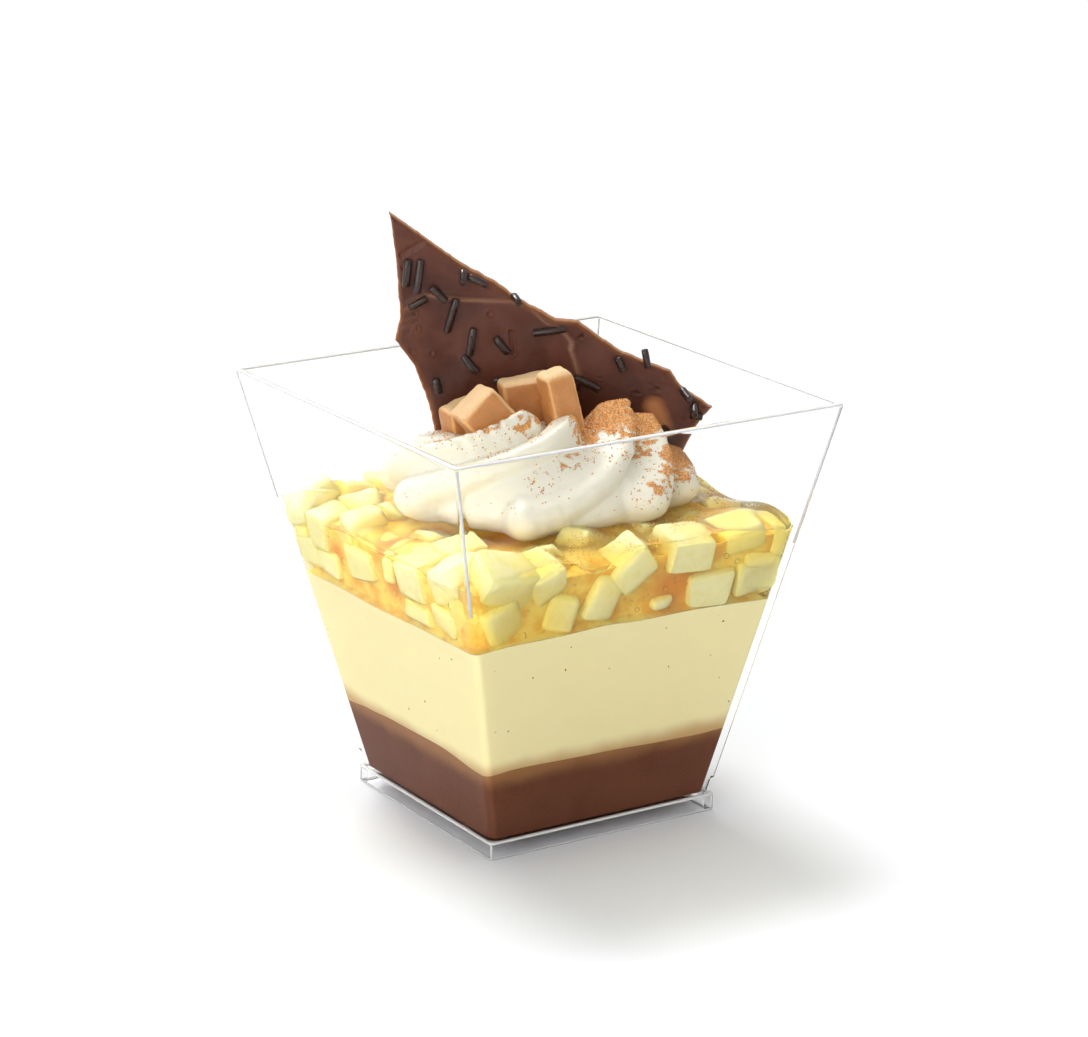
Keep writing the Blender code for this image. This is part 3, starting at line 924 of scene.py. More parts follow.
def make_jelly(material, core_material, dice):
    """The jelly, draped over the top dice and drawn up or down where it meets the walls."""
    high_boxes = [box for box in dice.boxes if box[2][2] > 45 * MM]
    offsets = [(0.0, 0.0)]
    for step in (1, 2):
        for k in range(6):
            turn = math.pi * (k + step / 2) / 3
            away = step * FILM_SPREAD
            offsets.append((away * math.cos(turn), away * math.sin(turn)))

    def draped(points):
        total = np.zeros(len(points))
        for dx, dy in offsets:
            x, y = points[:, 0] + dx, points[:, 1] + dy
            level = rough_level(x, y)
            for box in high_boxes:
                level = np.maximum(level, box_top(box, x, y) + FILM)
            total += level
        return total / len(offsets)

    def top(points):
        x, y = points[:, 0], points[:, 1]
        back = FRUIT_LEVEL + 0.9 * MM * np.sin(x / (4.3 * MM)) * np.cos(y / (3.7 * MM)) + 0.030 * x
        lines = (JELLY_LINE_LEFT, JELLY_LINE_RIGHT)
        return met_at_walls(points, FRUIT_LEVEL, draped(points), back, *lines, MENISCUS)

    def core_top(points):
        return rough_level(points[:, 0], points[:, 1]) - CORE_DEPTH

    ways = outline(JELLY_SIDE, JELLY_TURN)
    points, faces = filled(ways, custard_level, top, JELLY_ROWS, JELLY_RINGS)
    places = np.array(points)
    off_wall = wall_half(places[:, 2]) - WALL - np.abs(places[:, :2]).max(axis=1)
    free = np.clip(off_wall / MM, 0, 1)
    jelly = piece(
        "golden_jelly", points, faces, material, "fruit_jelly", ["fruit_in_jelly"], sharp=70,
        free=free,
    )
    ways = outline(LAYER_SIDE, LAYER_TURN)
    points, faces = filled(
        ways, custard_level, core_top, LAYER_ROWS, LAYER_RINGS, CORE_INSET, CORE_FOOT_INSET
    )
    places = np.array(points) / MM
    amber = np.zeros(len(places))
    for x, y, z, reach in AMBER_SPOTS:
        away = np.linalg.norm(places - (x, y, z), axis=1) / reach
        amber = np.maximum(amber, np.clip(1.6 - 1.3 * away, 0, 1))
    piece("clouded_core", points, faces, core_material, "fruit_jelly", sharp=50, amber=amber)
    return jelly


# Bubbles: which wall, along it and up, how deep behind it and radius.
BUBBLES = (
    (RIGHT_WALL, -15.8, 39.9, 1.6, 1.25), (RIGHT_WALL, -19.2, 39.4, 1.2, 0.8),
    (RIGHT_WALL, 18.6, 47.2, 0.8, 0.5), (RIGHT_WALL, 2.2, 40.4, 0.8, 0.45),
    (RIGHT_WALL, 7.4, 43.2, 0.9, 0.5), (RIGHT_WALL, 20.9, 45.9, 0.6, 0.5),
    (LEFT_WALL, 3.6, 42.0, 0.8, 0.6), (LEFT_WALL, -13.0, 43.0, 0.9, 0.7),
    (LEFT_WALL, 15.6, 47.6, 0.8, 0.5), (LEFT_WALL, 22.6, 45.0, 0.9, 0.8),
    (LEFT_WALL, -24.4, 40.8, 0.7, 0.5),
)
SMALL_BUBBLES = 130
LARGE_BUBBLE = 0.4
BUBBLE_SEED = 21


def make_bubbles(material):
    """Air caught in the jelly: a few large bubbles by the walls and many small ones."""
    rng = np.random.default_rng(BUBBLE_SEED)
    specs = list(BUBBLES)
    for _ in range(SMALL_BUBBLES):
        heading = RIGHT_WALL if rng.uniform() < 0.6 else LEFT_WALL
        along = rng.normal(7, 6) if rng.uniform() < 0.4 else rng.uniform(-27, 27)
        depth = rng.uniform(0.5, 1.8)
        z = rng.uniform(39.6, 47.5)
        specs.append((heading, min(max(along, -26), 26), z, depth, rng.uniform(0.10, 0.26)))
    bm = bmesh.new()
    for heading, along, z, depth, radius in specs:
        inwards = Matrix.Translation((0, (depth + radius) * MM, 0))
        place = wall_frame(heading, along * MM, z * MM) @ inwards
        cuts = 3 if radius > LARGE_BUBBLE else 1
        bmesh.ops.create_icosphere(bm, subdivisions=cuts, radius=radius * MM, matrix=place)
    piece("air_bubbles", *arrays_of(bm), material, "fruit_jelly")


# ---------------------------------------------------------------- the cream

CREAM_CENTRE = np.array((0.8, 1.5, 56.0)) * MM
CREAM_CORE = np.array((19.4, 19.0, 9.4)) * MM
CREAM_SKIRT = np.array((19.6, 18.4, 4.6)) * MM
CREAM_SKIRT_Z = 53.6 * MM
CREAM_COLUMNS = 420
CREAM_ROWS = 130
CREAM_FIRST_LOOK = 6
CREAM_REACH = 34 * MM
CREAM_LOWEST_ANGLE = math.radians(104)
CREASE_ROUNDING = 0.55 * MM
RIDGE_STEPS = 16
# A ridge's section, in shares of its thickness: broad at the root, narrow at the crest.
ROOT_WIDTH = 0.86
ROOT_DEPTH = 0.35
CREST_AT_FOOT = 0.62
CREST_AT_HEAD = 0.26
# Each ridge of the swirl: at its foot the angle, distance out, height and thickness, the same
# at its head, then how it draws inwards and how it climbs.
CREAM_RIDGES = (
    (172, 21.3, 55.3, 4.8, 250, 6.8, 66.8, 3.0, 1.7, 0.75),
    (-156, 20.0, 55.0, 5.4, -56, 7.9, 65.6, 3.6, 0.75, 0.75),
    (-97, 18.2, 54.2, 5.2, 6, 12.6, 66.4, 3.4, 0.6, 1.3),
    (-33, 19.6, 55.2, 5.2, 12, 17.0, 63.8, 3.2, 1.0, 1.1),
    (-5, 21.8, 54.8, 4.8, 20, 22.0, 57.4, 3.6, 1.0, 1.0),
    (32, 20.5, 55.0, 5.6, 66, 16.0, 60.6, 4.2, 1.0, 1.0),
    (76, 20.0, 55.2, 5.8, 150, 12.5, 62.0, 4.2, 1.0, 1.0),
    (122, 20.0, 55.2, 5.6, 182, 16.0, 60.6, 4.2, 1.0, 0.8),
)


def ridge_path(ridge):
    """Points up a ridge, with its thickness, its way out and its crest's share at each."""
    foot_angle, foot_r, foot_z, foot_size = ridge[:4]
    head_angle, head_r, head_z, head_size, inwards, climb = ridge[4:]
    t = np.linspace(0, 1, RIDGE_STEPS)
    angle = np.radians(foot_angle + (head_angle - foot_angle) * t)
    radius = (foot_r + (head_r - foot_r) * t**inwards) * MM
    z = (foot_z + (head_z - foot_z) * t**climb) * MM
    x = CREAM_CENTRE[0] + radius * np.cos(angle)
    y = CREAM_CENTRE[1] + radius * np.sin(angle)
    path = np.stack([x, y, z], -1)
    outwards = path - CREAM_CENTRE + (0, 0, 2.5 * MM)
    outwards = outwards / np.linalg.norm(outwards, axis=1)[:, None]
    crest = CREST_AT_FOOT + (CREST_AT_HEAD - CREST_AT_FOOT) * t**0.7
    return path, (foot_size + (head_size - foot_size) * t) * MM, outwards, crest


def tapered_distance(side, out, size, crest):
    """Distance to a ridge's section: a broad circle within, a narrower one at its crest."""
    root = ROOT_WIDTH * size
    tip = crest * size
    height = size * (1 + ROOT_DEPTH - crest)
    up = out + ROOT_DEPTH * size
    b = (root - tip) / height
    a = np.sqrt(1 - b * b)
    k = up * a - side * b
    low = np.hypot(side, up) - root
    high = np.hypot(side, up - height) - tip
    return np.where(k < 0, low, np.where(k > a * height, high, side * a + up * b - root))


RIDGE_PATHS = [ridge_path(ridge) for ridge in CREAM_RIDGES]


def smooth_min(a, b, k):
    h = np.maximum(k - np.abs(a - b), 0) / k
    return np.minimum(a, b) - h * h * k / 4


def cream_distance(points):
    """Roughly how far each point is outside the cream, in the topping's frame."""
    scaled = np.linalg.norm((points - CREAM_CENTRE) / CREAM_CORE, axis=-1)
    distance = (scaled - 1) * CREAM_CORE.min()
    skirt_centre = (CREAM_CENTRE[0], CREAM_CENTRE[1], CREAM_SKIRT_Z)
    scaled = np.linalg.norm((points - skirt_centre) / CREAM_SKIRT, axis=-1)
    distance = smooth_min(distance, (scaled - 1) * CREAM_SKIRT.min(), 2 * MM)
    for path, size, outwards, crest in RIDGE_PATHS:
        nearest = np.full(len(points), np.inf)
        for k in range(RIDGE_STEPS - 1):
            step = path[k + 1] - path[k]
            away = points - path[k]
            t = np.clip(away @ step / (step @ step), 0, 1)
            away -= t[:, None] * step
            out = away @ (outwards[k] + outwards[k + 1]) / 2
            side = np.sqrt(np.maximum((away * away).sum(1) - out * out, 0))
            here = size[k] + (size[k + 1] - size[k]) * t
            nearest = np.minimum(nearest, tapered_distance(side, out, here, crest[k]))
        distance = smooth_min(distance, nearest, CREASE_ROUNDING)
    return distance


def cream_ways(columns, rows):
    down = np.linspace(CREAM_LOWEST_ANGLE, CREAM_LOWEST_ANGLE / rows, rows)
    turn = np.linspace(0, 2 * math.pi, columns, endpoint=False)
    down, turn = np.meshgrid(down, turn, indexing="ij")
    return np.stack([np.sin(down) * np.cos(turn), np.sin(down) * np.sin(turn), np.cos(down)], -1)


def drawn_in(ways, outside, steps, share):
    """Distances along each way, moved in until they meet the cream."""
    for _ in range(steps):
        gap = cream_distance(CREAM_CENTRE + ways * outside[:, None])
        outside = outside - np.maximum(gap, 0) * share
    return outside


def cream_surface():
    """Rows of points over the cream, from its foot up, first roughly and then closely."""
    rough_columns, rough_rows = CREAM_COLUMNS // CREAM_FIRST_LOOK, CREAM_ROWS // CREAM_FIRST_LOOK
    rough = cream_ways(rough_columns, rough_rows)
    flat = rough.reshape(-1, 3)
    found = drawn_in(flat, np.full(len(flat), CREAM_REACH), 40, 0.8)
    found = found.reshape(rough_rows, rough_columns)
    spread = np.maximum.reduce([np.roll(found, k, axis=1) for k in (-2, -1, 0, 1, 2)])
    padded = np.pad(spread, ((1, 1), (0, 0)), mode="edge")
    spread = np.maximum.reduce([padded[:-2], padded[1:-1], padded[2:]])
    rows = np.linspace(0, rough_rows - 1, CREAM_ROWS).round().astype(int)
    columns = (np.arange(CREAM_COLUMNS) * rough_columns // CREAM_COLUMNS) % rough_columns
    ways = cream_ways(CREAM_COLUMNS, CREAM_ROWS)
    start = spread[np.ix_(rows, columns)] + 0.4 * MM
    outside = drawn_in(ways.reshape(-1, 3), start.ravel(), 26, 0.85)
    surface = CREAM_CENTRE + ways.reshape(-1, 3) * outside[:, None]
    height = drawn_in(np.array([(0, 0, 1.0)]), np.array([CREAM_REACH]), 60, 0.8)
    top = CREAM_CENTRE + np.array((0, 0, 1)) * height
    return surface.reshape(CREAM_ROWS, CREAM_COLUMNS, 3), top


def to_world(points):
    turn = np.array(TO_TOPPING.to_3x3())
    return np.asarray(points) @ turn.T


def make_cream(material):
    """The piped swirl, closed below by a base sunk a little into the jelly."""
    rows, top = cream_surface()
    sunk = FRUIT_LEVEL - 0.6 * MM
    surface = rows.copy()
    surface[..., 2] = np.maximum(surface[..., 2], sunk)
    flat = surface.reshape(-1, 3)
    ripple = noise_at(flat, 3.2 * MM) * 0.16 * MM + noise_at(flat, 1.1 * MM, 5.0) * 0.05 * MM
    out = flat - CREAM_CENTRE
    flat = flat + out / np.linalg.norm(out, axis=1)[:, None] * ripple[:, None]
    middle = (CREAM_CENTRE[0], CREAM_CENTRE[1], sunk)
    points = to_world(np.concatenate([flat, [middle, tuple(top)]]))
    faces = closed(CREAM_ROWS, CREAM_COLUMNS)
    dusting = cream_dusting(surface.reshape(-1, 3))
    dusting = np.concatenate([dusting, [0, dusting[-1]]])
    return piece(
        "piped_cream", points, faces, material, "cream", ["whipped_cream"], dusting=dusting
    )


# Where the cinnamon fell, seen from the front: across, up, radius and how thick.
DUST_PATCHES = (
    (0.7, 67.4, 2.4, 1.4), (-2.6, 66.0, 3.0, 0.7), (-8.5, 64.5, 4.5, 0.5), (-14.0, 62.5, 3.5, 0.35),
    (-1.0, 64.8, 2.2, 0.6), (-5.5, 61.5, 2.5, 0.35), (11.2, 68.4, 4.6, 2.6), (9.2, 64.6, 2.8, 1.8),
    (13.0, 66.0, 3.4, 2.0), (17.8, 66.5, 3.6, 2.6), (17.8, 60.9, 2.2, 1.0), (20.5, 54.9, 2.8, 1.1),
    (18.0, 52.5, 2.4, 0.5), (24.0, 59.8, 3.0, 2.0), (24.2, 56.5, 2.2, 1.0), (5.5, 58.8, 2.2, 0.5),
    (1.2, 55.4, 2.4, 0.45), (7.6, 61.0, 2.4, 0.6), (14.0, 60.0, 2.5, 0.3),
)
# The same on the jelly.
JELLY_DUST_PATCHES = (
    (29.9, 55.5, 4.0, 0.5), (24.5, 52.5, 4.0, 0.35), (16.5, 47.0, 4.0, 0.35), (7.0, 44.8, 3.5, 0.3),
    (20.5, 48.6, 3.0, 0.35), (1.0, 44.0, 2.5, 0.15),
)
# How much higher a place looks from the front for its distance behind.
LOOKS_HIGHER = 0.31


def dusted(points, patches, least=0.0):
    """The thickest of the patches at each point, in the topping's frame."""
    across, height = points[:, 0], points[:, 2] + LOOKS_HIGHER * points[:, 1]
    amount = np.full(len(points), least)
    for x, z, radius, thick in patches:
        away = np.hypot(across - x * MM, height - z * MM) / (radius * MM)
        amount = np.maximum(amount, thick * np.clip(1.7 - 1.2 * away, 0, 1))
    return amount


def cream_dusting(points):
    """How thick the cinnamon lies, 0 to 1: in its patches, and least on what faces down."""
    h = 0.25 * MM
    slope = []
    for axis in range(3):
        step = np.zeros(3)
        step[axis] = h
        slope.append(cream_distance(points + step) - cream_distance(points - step))
    normal = np.stack(slope, -1)
    normal /= np.maximum(np.linalg.norm(normal, axis=1), 1e-9)[:, None]
    amount = dusted(points, DUST_PATCHES, 0.02)
    facing = np.clip((normal[:, 2] + 0.25) / 0.6, 0, 1)
    speck = noise_at(points, 1.3 * MM, 9.0) * 0.5 + 0.5
    clumped = np.clip((speck - 0.40) * 3.4, 0, 1)
    cover = 0.12 + 1.6 * clumped + 0.25 * np.clip(amount - 0.8, 0, 2)
    return np.clip(amount * facing * cover, 0, 1)


# ---------------------------------------------------------------- scattering

# Each kind of grain: how many to a square metre, smallest and largest radius, seed.
CREAM_GRAINS = (7e6, 0.06 * MM, 0.18 * MM, 4)
JELLY_GRAINS = (1.4e7, 0.04 * MM, 0.12 * MM, 5)
VANILLA_GRAINS = (1.6e4, 0.07 * MM, 0.26 * MM, 2)


def scatter_tree(name, material, shape, inputs):
    """A tree that scatters a small shape over a surface, more thickly where an attribute says."""
    tree = bpy.data.node_groups.new(name, "GeometryNodeTree")
    tree.interface.new_socket("Geometry", in_out="INPUT", socket_type="NodeSocketGeometry")
    tree.interface.new_socket("Geometry", in_out="OUTPUT", socket_type="NodeSocketGeometry")
    sockets = {}
    for label, (kind, value) in inputs.items():
        made = tree.interface.new_socket(label, in_out="INPUT", socket_type=kind)
        made.default_value = value
        sockets[label] = made.identifier
    enter = tree.nodes.new("NodeGroupInput")
    leave = tree.nodes.new("NodeGroupOutput")

    def add(kind, settings=None, links=None):
        node = tree.nodes.new(kind)
        for key, value in (settings or {}).items():
            setattr(node, key, value)
        for key, value in (links or {}).items():
            if isinstance(value, bpy.types.NodeSocket):
                tree.links.new(value, node.inputs[key])
            else:
                node.inputs[key].default_value = value
        return node

    weight = add("GeometryNodeInputNamedAttribute", {"data_type": "FLOAT"}, {"Name": "dusting"})
    density = add(
        "ShaderNodeMath", {"operation": "MULTIPLY"},
        {0: weight.outputs[0], 1: enter.outputs["Density"]},
    )
    points = add(
        "GeometryNodeDistributePointsOnFaces", {"distribute_method": "RANDOM"},
        {
            "Mesh": enter.outputs["Geometry"], "Density": density.outputs[0],
            "Seed": enter.outputs["Seed"],
        },
    )
    source = add("GeometryNodeObjectInfo", {"transform_space": "ORIGINAL"}, {"Object": shape})
    turn = add(
        "FunctionNodeRandomValue", {"data_type": "FLOAT_VECTOR"},
        {0: (0, 0, 0), 1: (math.tau, math.tau, math.tau), "Seed": enter.outputs["Seed"]},
    )
    size = add(
        "FunctionNodeRandomValue", {"data_type": "FLOAT"},
        {2: enter.outputs["Smallest"], 3: enter.outputs["Largest"], "Seed": enter.outputs["Seed"]},
    )
    placed = add(
        "GeometryNodeInstanceOnPoints", None,
        {
            "Points": points.outputs["Points"], "Instance": source.outputs["Geometry"],
            "Rotation": turn.outputs[0], "Scale": size.outputs[1],
        },
    )
    real = add("GeometryNodeRealizeInstances", None, {0: placed.outputs[0]})
    coated = add(
        "GeometryNodeSetMaterial", None, {"Geometry": real.outputs[0], "Material": material}
    )
    tree.links.new(coated.outputs[0], leave.inputs[0])
    return tree, sockets


def grain_shape(name, divisions, squash):
    """A small lump of unit radius to scatter. It isn't part of the object itself."""
    bm = bmesh.new()
    bmesh.ops.create_icosphere(bm, subdivisions=divisions, radius=1.0)
    for vert in bm.verts:
        vert.co = Vector(vert.co) * (1 + 0.25 * noise.noise(Vector(vert.co) * 3))
        vert.co.z *= squash
    mesh = bpy.data.meshes.new(name)
    bm.to_mesh(mesh)
    bm.free()
    return bpy.data.objects.new(name, mesh)


def scattered(name, base, weights, material, slot, shape, density, smallest, largest, seed):
    """A piece of loose grains scattered over a base mesh."""
    inputs = {
        "Density": ("NodeSocketFloat", density), "Smallest": ("NodeSocketFloat", smallest),
        "Largest": ("NodeSocketFloat", largest), "Seed": ("NodeSocketInt", seed),
    }
    tree, sockets = scatter_tree(name + "_scatter", material, shape, inputs)
    carrier = bpy.data.objects.new(name + "_carrier", base.data.copy())
    mesh = carrier.data
    layer = mesh.attributes.get("dusting") or mesh.attributes.new("dusting", "FLOAT", "POINT")
    layer.data.foreach_set("value", np.asarray(weights, np.float32))
    bpy.context.scene.collection.objects.link(carrier)
    modifier = carrier.modifiers.new("scatter", "NODES")
    modifier.node_group = tree
    for label, (_, value) in inputs.items():
        modifier[sockets[label]] = value
    bpy.context.view_layer.update()
    done = carrier.evaluated_get(bpy.context.evaluated_depsgraph_get())
    plain = bpy.data.meshes.new_from_object(done)
    plain.name = name
    bpy.data.objects.remove(carrier, do_unlink=True)
    ob = linked(name, plain)
    if not plain.materials:
        plain.materials.append(material)
    belongs(ob)
    return ob


def mesh_arrays(ob):
    """A piece's points and normals."""
    count = len(ob.data.vertices)
    points, normals = np.zeros(count * 3), np.zeros(count * 3)
    ob.data.vertices.foreach_get("co", points)
    ob.data.vertex_normals.foreach_get("vector", normals)
    return points.reshape(-1, 3), normals.reshape(-1, 3)


# ---------------------------------------------------------------- the toffees

# Centre, size, and turn about X, Y and Z, in the topping's frame.
TOFFEES = {
    "toffee_1": ((-12.2, 5.0, 65.2), (6.0, 5.5, 5.5), (8, -14, 30)),
    "toffee_2": ((-8.1, -4.0, 67.9), (7.6, 7.2, 7.6), (-4, 49, 18)),
    "toffee_3": ((-0.9, 4.8, 68.0), (9.2, 6.0, 8.4), (-4, -7, 14)),
    "toffee_4": ((4.3, -1.2, 69.7), (5.2, 5.6, 10.6), (-5, -12, 22)),
}
TOFFEE_EDGE = 1.1 * MM
TOFFEE_WARP = 0.35 * MM
TOFFEE_CUTS = 16
TOFFEE_SEED = 3


def make_toffees(material):
    """Four cut cubes, a little out of square and lumpy."""
    rng = np.random.default_rng(TOFFEE_SEED)
    for name, (centre, size, turns) in TOFFEES.items():
        size = np.array(size) * MM
        block, faces, near_edge = rounded_block(size, TOFFEE_EDGE, TOFFEE_CUTS)
        block = warped(block, size, TOFFEE_WARP, rng)
        lumps = noise_at(block, 1.8 * MM, centre[0]) * 0.25 * MM
        lumps = lumps + noise_at(block, 0.6 * MM) * 0.08 * MM
        block += block / np.linalg.norm(block, axis=1)[:, None] * lumps[:, None]
        turn = Euler([math.radians(a) for a in turns]).to_matrix()
        place = TO_TOPPING @ Matrix.Translation(Vector(centre) * MM) @ turn.to_4x4()
        points = moved_by(block, place)
        ups = block / (size / 2)
        facing = np.abs(ups).max(1)
        sides = np.where(np.abs(ups) >= facing[:, None] * 0.97, np.sign(ups), 0)
        ways = sides @ np.array(place.to_3x3()).T
        # How much each point faces up: the tops are painted paler, for a powdery bloom and for the
        # light that falls on them from above.
        bloom = np.clip(ways[:, 2] / np.linalg.norm(ways, axis=1), 0, 1)
        piece(
            name + "_cube", points, faces, material, "toffee", [name],
            edge=near_edge, bloom=bloom,
        )


# ---------------------------------------------------------------- the shard

SHARD_THICKNESS = 2.0 * MM
SHARD_BACK = 12.0 * MM
SHARD_DATUM_Z = 60.0 * MM
SHARD_LEAN = math.radians(3)
SHARD_HUB = Vector((-8.0, 10.0))
# Across and up its face from the datum, clockwise from the tall point.
SHARD_OUTLINE = (
    (-24.1, 38.3), (-17.6, 33.6), (-12.1, 29.7), (-6.6, 26.7), (-2.4, 23.6), (3.7, 20.2),
    (7.5, 19.8), (9.0, 18.7), (14.4, 14.8), (18.1, 13.2), (23.2, 11.2), (24.8, 8.7),
    (30.2, 4.9), (28.7, 3.4), (26.8, 0.5), (25.1, -2.8), (21.5, -5.8), (-13.0, -5.8),
    (-16.5, -1.0), (-17.8, 5.5), (-20.2, 12.2), (-23.4, 16.6), (-22.5, 20.7), (-23.1, 30.4),
)
SHARD_RINGS = 84
SHARD_SPACING = 0.45
EDGE_ROUNDING = 0.35 * MM
# How far in from its outline the face is warmer in colour, in mm.
WARM_RIM = 1.1
# The seam between two pours: the chocolate below and left of it lies lower.
SHARD_SEAM = (
    (-26.0, 19.5), (-22.3, 21.4), (-18.1, 24.3), (-12.2, 23.5), (-6.5, 23.3), (-3.7, 23.3),
    (-0.7, 22.3), (1.8, 19.9), (5.2, 17.7), (6.4, 16.3), (6.2, 14.9), (6.9, 13.1), (7.5, 11.0),
    (7.8, -9.0), (-26.0, -9.0),
)
SEAM_STEP = 0.55 * MM
# Marks left by bubbles: across, up, radius.
SHARD_BUBBLES = (
    (-7.5, 21.1, 0.55), (-17.2, 14.4, 0.5), (-20.6, 14.8, 0.6), (-19.5, 18.6, 0.4),
    (17.2, 7.6, 0.6), (20.7, 8.1, 0.75), (19.9, 9.8, 0.35), (11.3, 10.2, 0.45),
    (22.0, 9.6, 0.3), (-14.6, 32.0, 0.35), (-20.0, 34.2, 0.4), (-22.0, 29.0, 0.35),
    (-7.9, 25.0, 0.4),
)
# The painted pool of warm light on the face: points of the path it lies along, across and up.
SHARD_GLOW = ((20.2, 5.2), (21.0, 3.4), (21.6, 1.6))
# Scratches and the print of a lost sprinkle: from, to, radius.
SHARD_GROOVES = (
    ((-22.1, 31.2), (-18.4, 33.4), 0.55), ((-22.0, 20.3), (-19.8, 21.2), 0.25),
    ((-22.2, 19.0), (-19.2, 20.2), 0.22), ((-22.6, 17.4), (-20.6, 18.3), 0.2),
    ((-3.9, 18.0), (-3.6, 14.2), 0.4), ((7.6, 17.0), (9.6, 18.6), 0.3),
)

# Sprinkles on its face: across, up, length and slant in degrees.
SPRINKLES = (
    (-21.2, 28.2, 4.6, -96), (-19.2, 27.6, 5.7, -98), (-15.9, 24.6, 3.5, -44),
    (-19.4, 23.0, 3.3, 29), (-13.8, 20.9, 6.0, -106), (-9.3, 26.9, 3.2, -24),
    (-11.7, 27.5, 1.0, -90), (-2.9, 23.9, 1.1, -45), (-10.5, 16.4, 4.8, -99),
    (-5.4, 15.7, 3.5, -52), (-10.8, 12.5, 3.7, -51), (-16.3, 8.8, 2.7, -75),
    (-4.6, 9.8, 4.2, 2), (2.7, 18.2, 5.6, 8), (9.0, 9.4, 4.6, -26), (14.5, 12.6, 2.5, -65),
    (18.9, 13.6, 3.2, -79), (25.6, 7.5, 1.1, -45), (27.0, 4.8, 1.4, -94),
    (27.4, 3.6, 2.1, -12), (22.3, 1.3, 1.2, -37),
)
SPRINKLE_RADIUS = 0.68 * MM
SPRINKLE_SIDES = 18
SPRINKLE_SEED = 8
# One that looks shorter than this on the face stands out from it, and is at least so long.
SEEN_END_ON = 1.5
STANDING_LENGTH = 3.0


def plate_to_world():
    """From across, out of the back and up the plate to the row frame."""
    stand = Matrix.Translation((0, SHARD_BACK + SHARD_THICKNESS / 2, SHARD_DATUM_Z))
    return TO_TOPPING @ stand @ Matrix.Rotation(-SHARD_LEAN, 4, "X")


def distance_to_path(points, path):
    """Each point's distance to a path of straight stretches."""
    nearest = np.full(len(points), np.inf)
    for start, end in zip(path[:-1], path[1:]):
        step = end - start
        share = np.clip((points - start) @ step / (step @ step), 0, 1)
        away = np.linalg.norm(points - start - share[:, None] * step, axis=1)
        nearest = np.minimum(nearest, away)
    return nearest


def inside(points, loop):
    """True for each point within a closed loop."""
    x, y = points.T
    found = np.zeros(len(points), bool)
    for (x0, y0), (x1, y1) in zip(loop, np.roll(loop, -1, axis=0)):
        crosses = (y0 > y) != (y1 > y)
        with np.errstate(divide="ignore", invalid="ignore"):
            at = x0 + (y - y0) / (y1 - y0) * (x1 - x0)
        found ^= crosses & (x < at)
    return found


def seam_distance(flat):
    """How far each place lies beyond the seam: negative on the lower pour."""
    seam = np.array(SHARD_SEAM)
    away = distance_to_path(flat, seam[:-2])
    return np.where(inside(flat, seam), -away, away)


def shard_relief(flat):
    """How far the face stands out at each point, in metres, from its places in millimetres."""
    signed = seam_distance(flat)
    rise = np.clip(signed / 0.35 + 0.3, 0, 1)
    relief = SEAM_STEP * rise * rise * (3 - 2 * rise)
    relief += 0.25 * MM * np.exp(-(((signed - 0.45) / 0.3) ** 2))
    for across, up, radius in SHARD_BUBBLES:
        r = np.hypot(flat[:, 0] - across, flat[:, 1] - up)
        lip = 0.22 * MM * np.exp(-(((r - radius) / 0.18) ** 2))
        relief += lip - 0.2 * MM * np.exp(-((r / radius) ** 2))
    for start, end, radius in SHARD_GROOVES:
        r = distance_to_path(flat, np.array([start, end]))
        relief -= 0.3 * MM * np.clip((radius - r) / 0.25, 0, 1)
        relief += 0.14 * MM * np.exp(-(((r - radius - 0.15) / 0.15) ** 2))
    spots = np.stack([flat[:, 0], flat[:, 1], np.zeros(len(flat))], -1)
    return relief + noise_at(spots, 6.0) * 0.3 * MM + noise_at(spots, 1.7, 3.0) * 0.05 * MM


def broken_outline():
    """The outline's corners joined by short steps, nicked as chocolate breaks."""
    corners = [Vector(p) for p in SHARD_OUTLINE]
    ring = []
    for start, end in zip(corners, corners[1:] + corners[:1]):
        steps = max(1, round((end - start).length / SHARD_SPACING))
        side = Vector((start.y - end.y, end.x - start.x)).normalized()
        for i in range(steps):
            p = start.lerp(end, i / steps)
            nick = noise.noise(Vector((p.x, p.y, 0)) * 0.9) * 0.16
            nick += noise.noise(Vector((p.x, p.y, 7)) * 3) * 0.07
            fade = min(1.0, 4 * min(i, steps - i) / steps)
            ring.append(p + side * (nick * fade - 0.1))
    return np.array(ring)


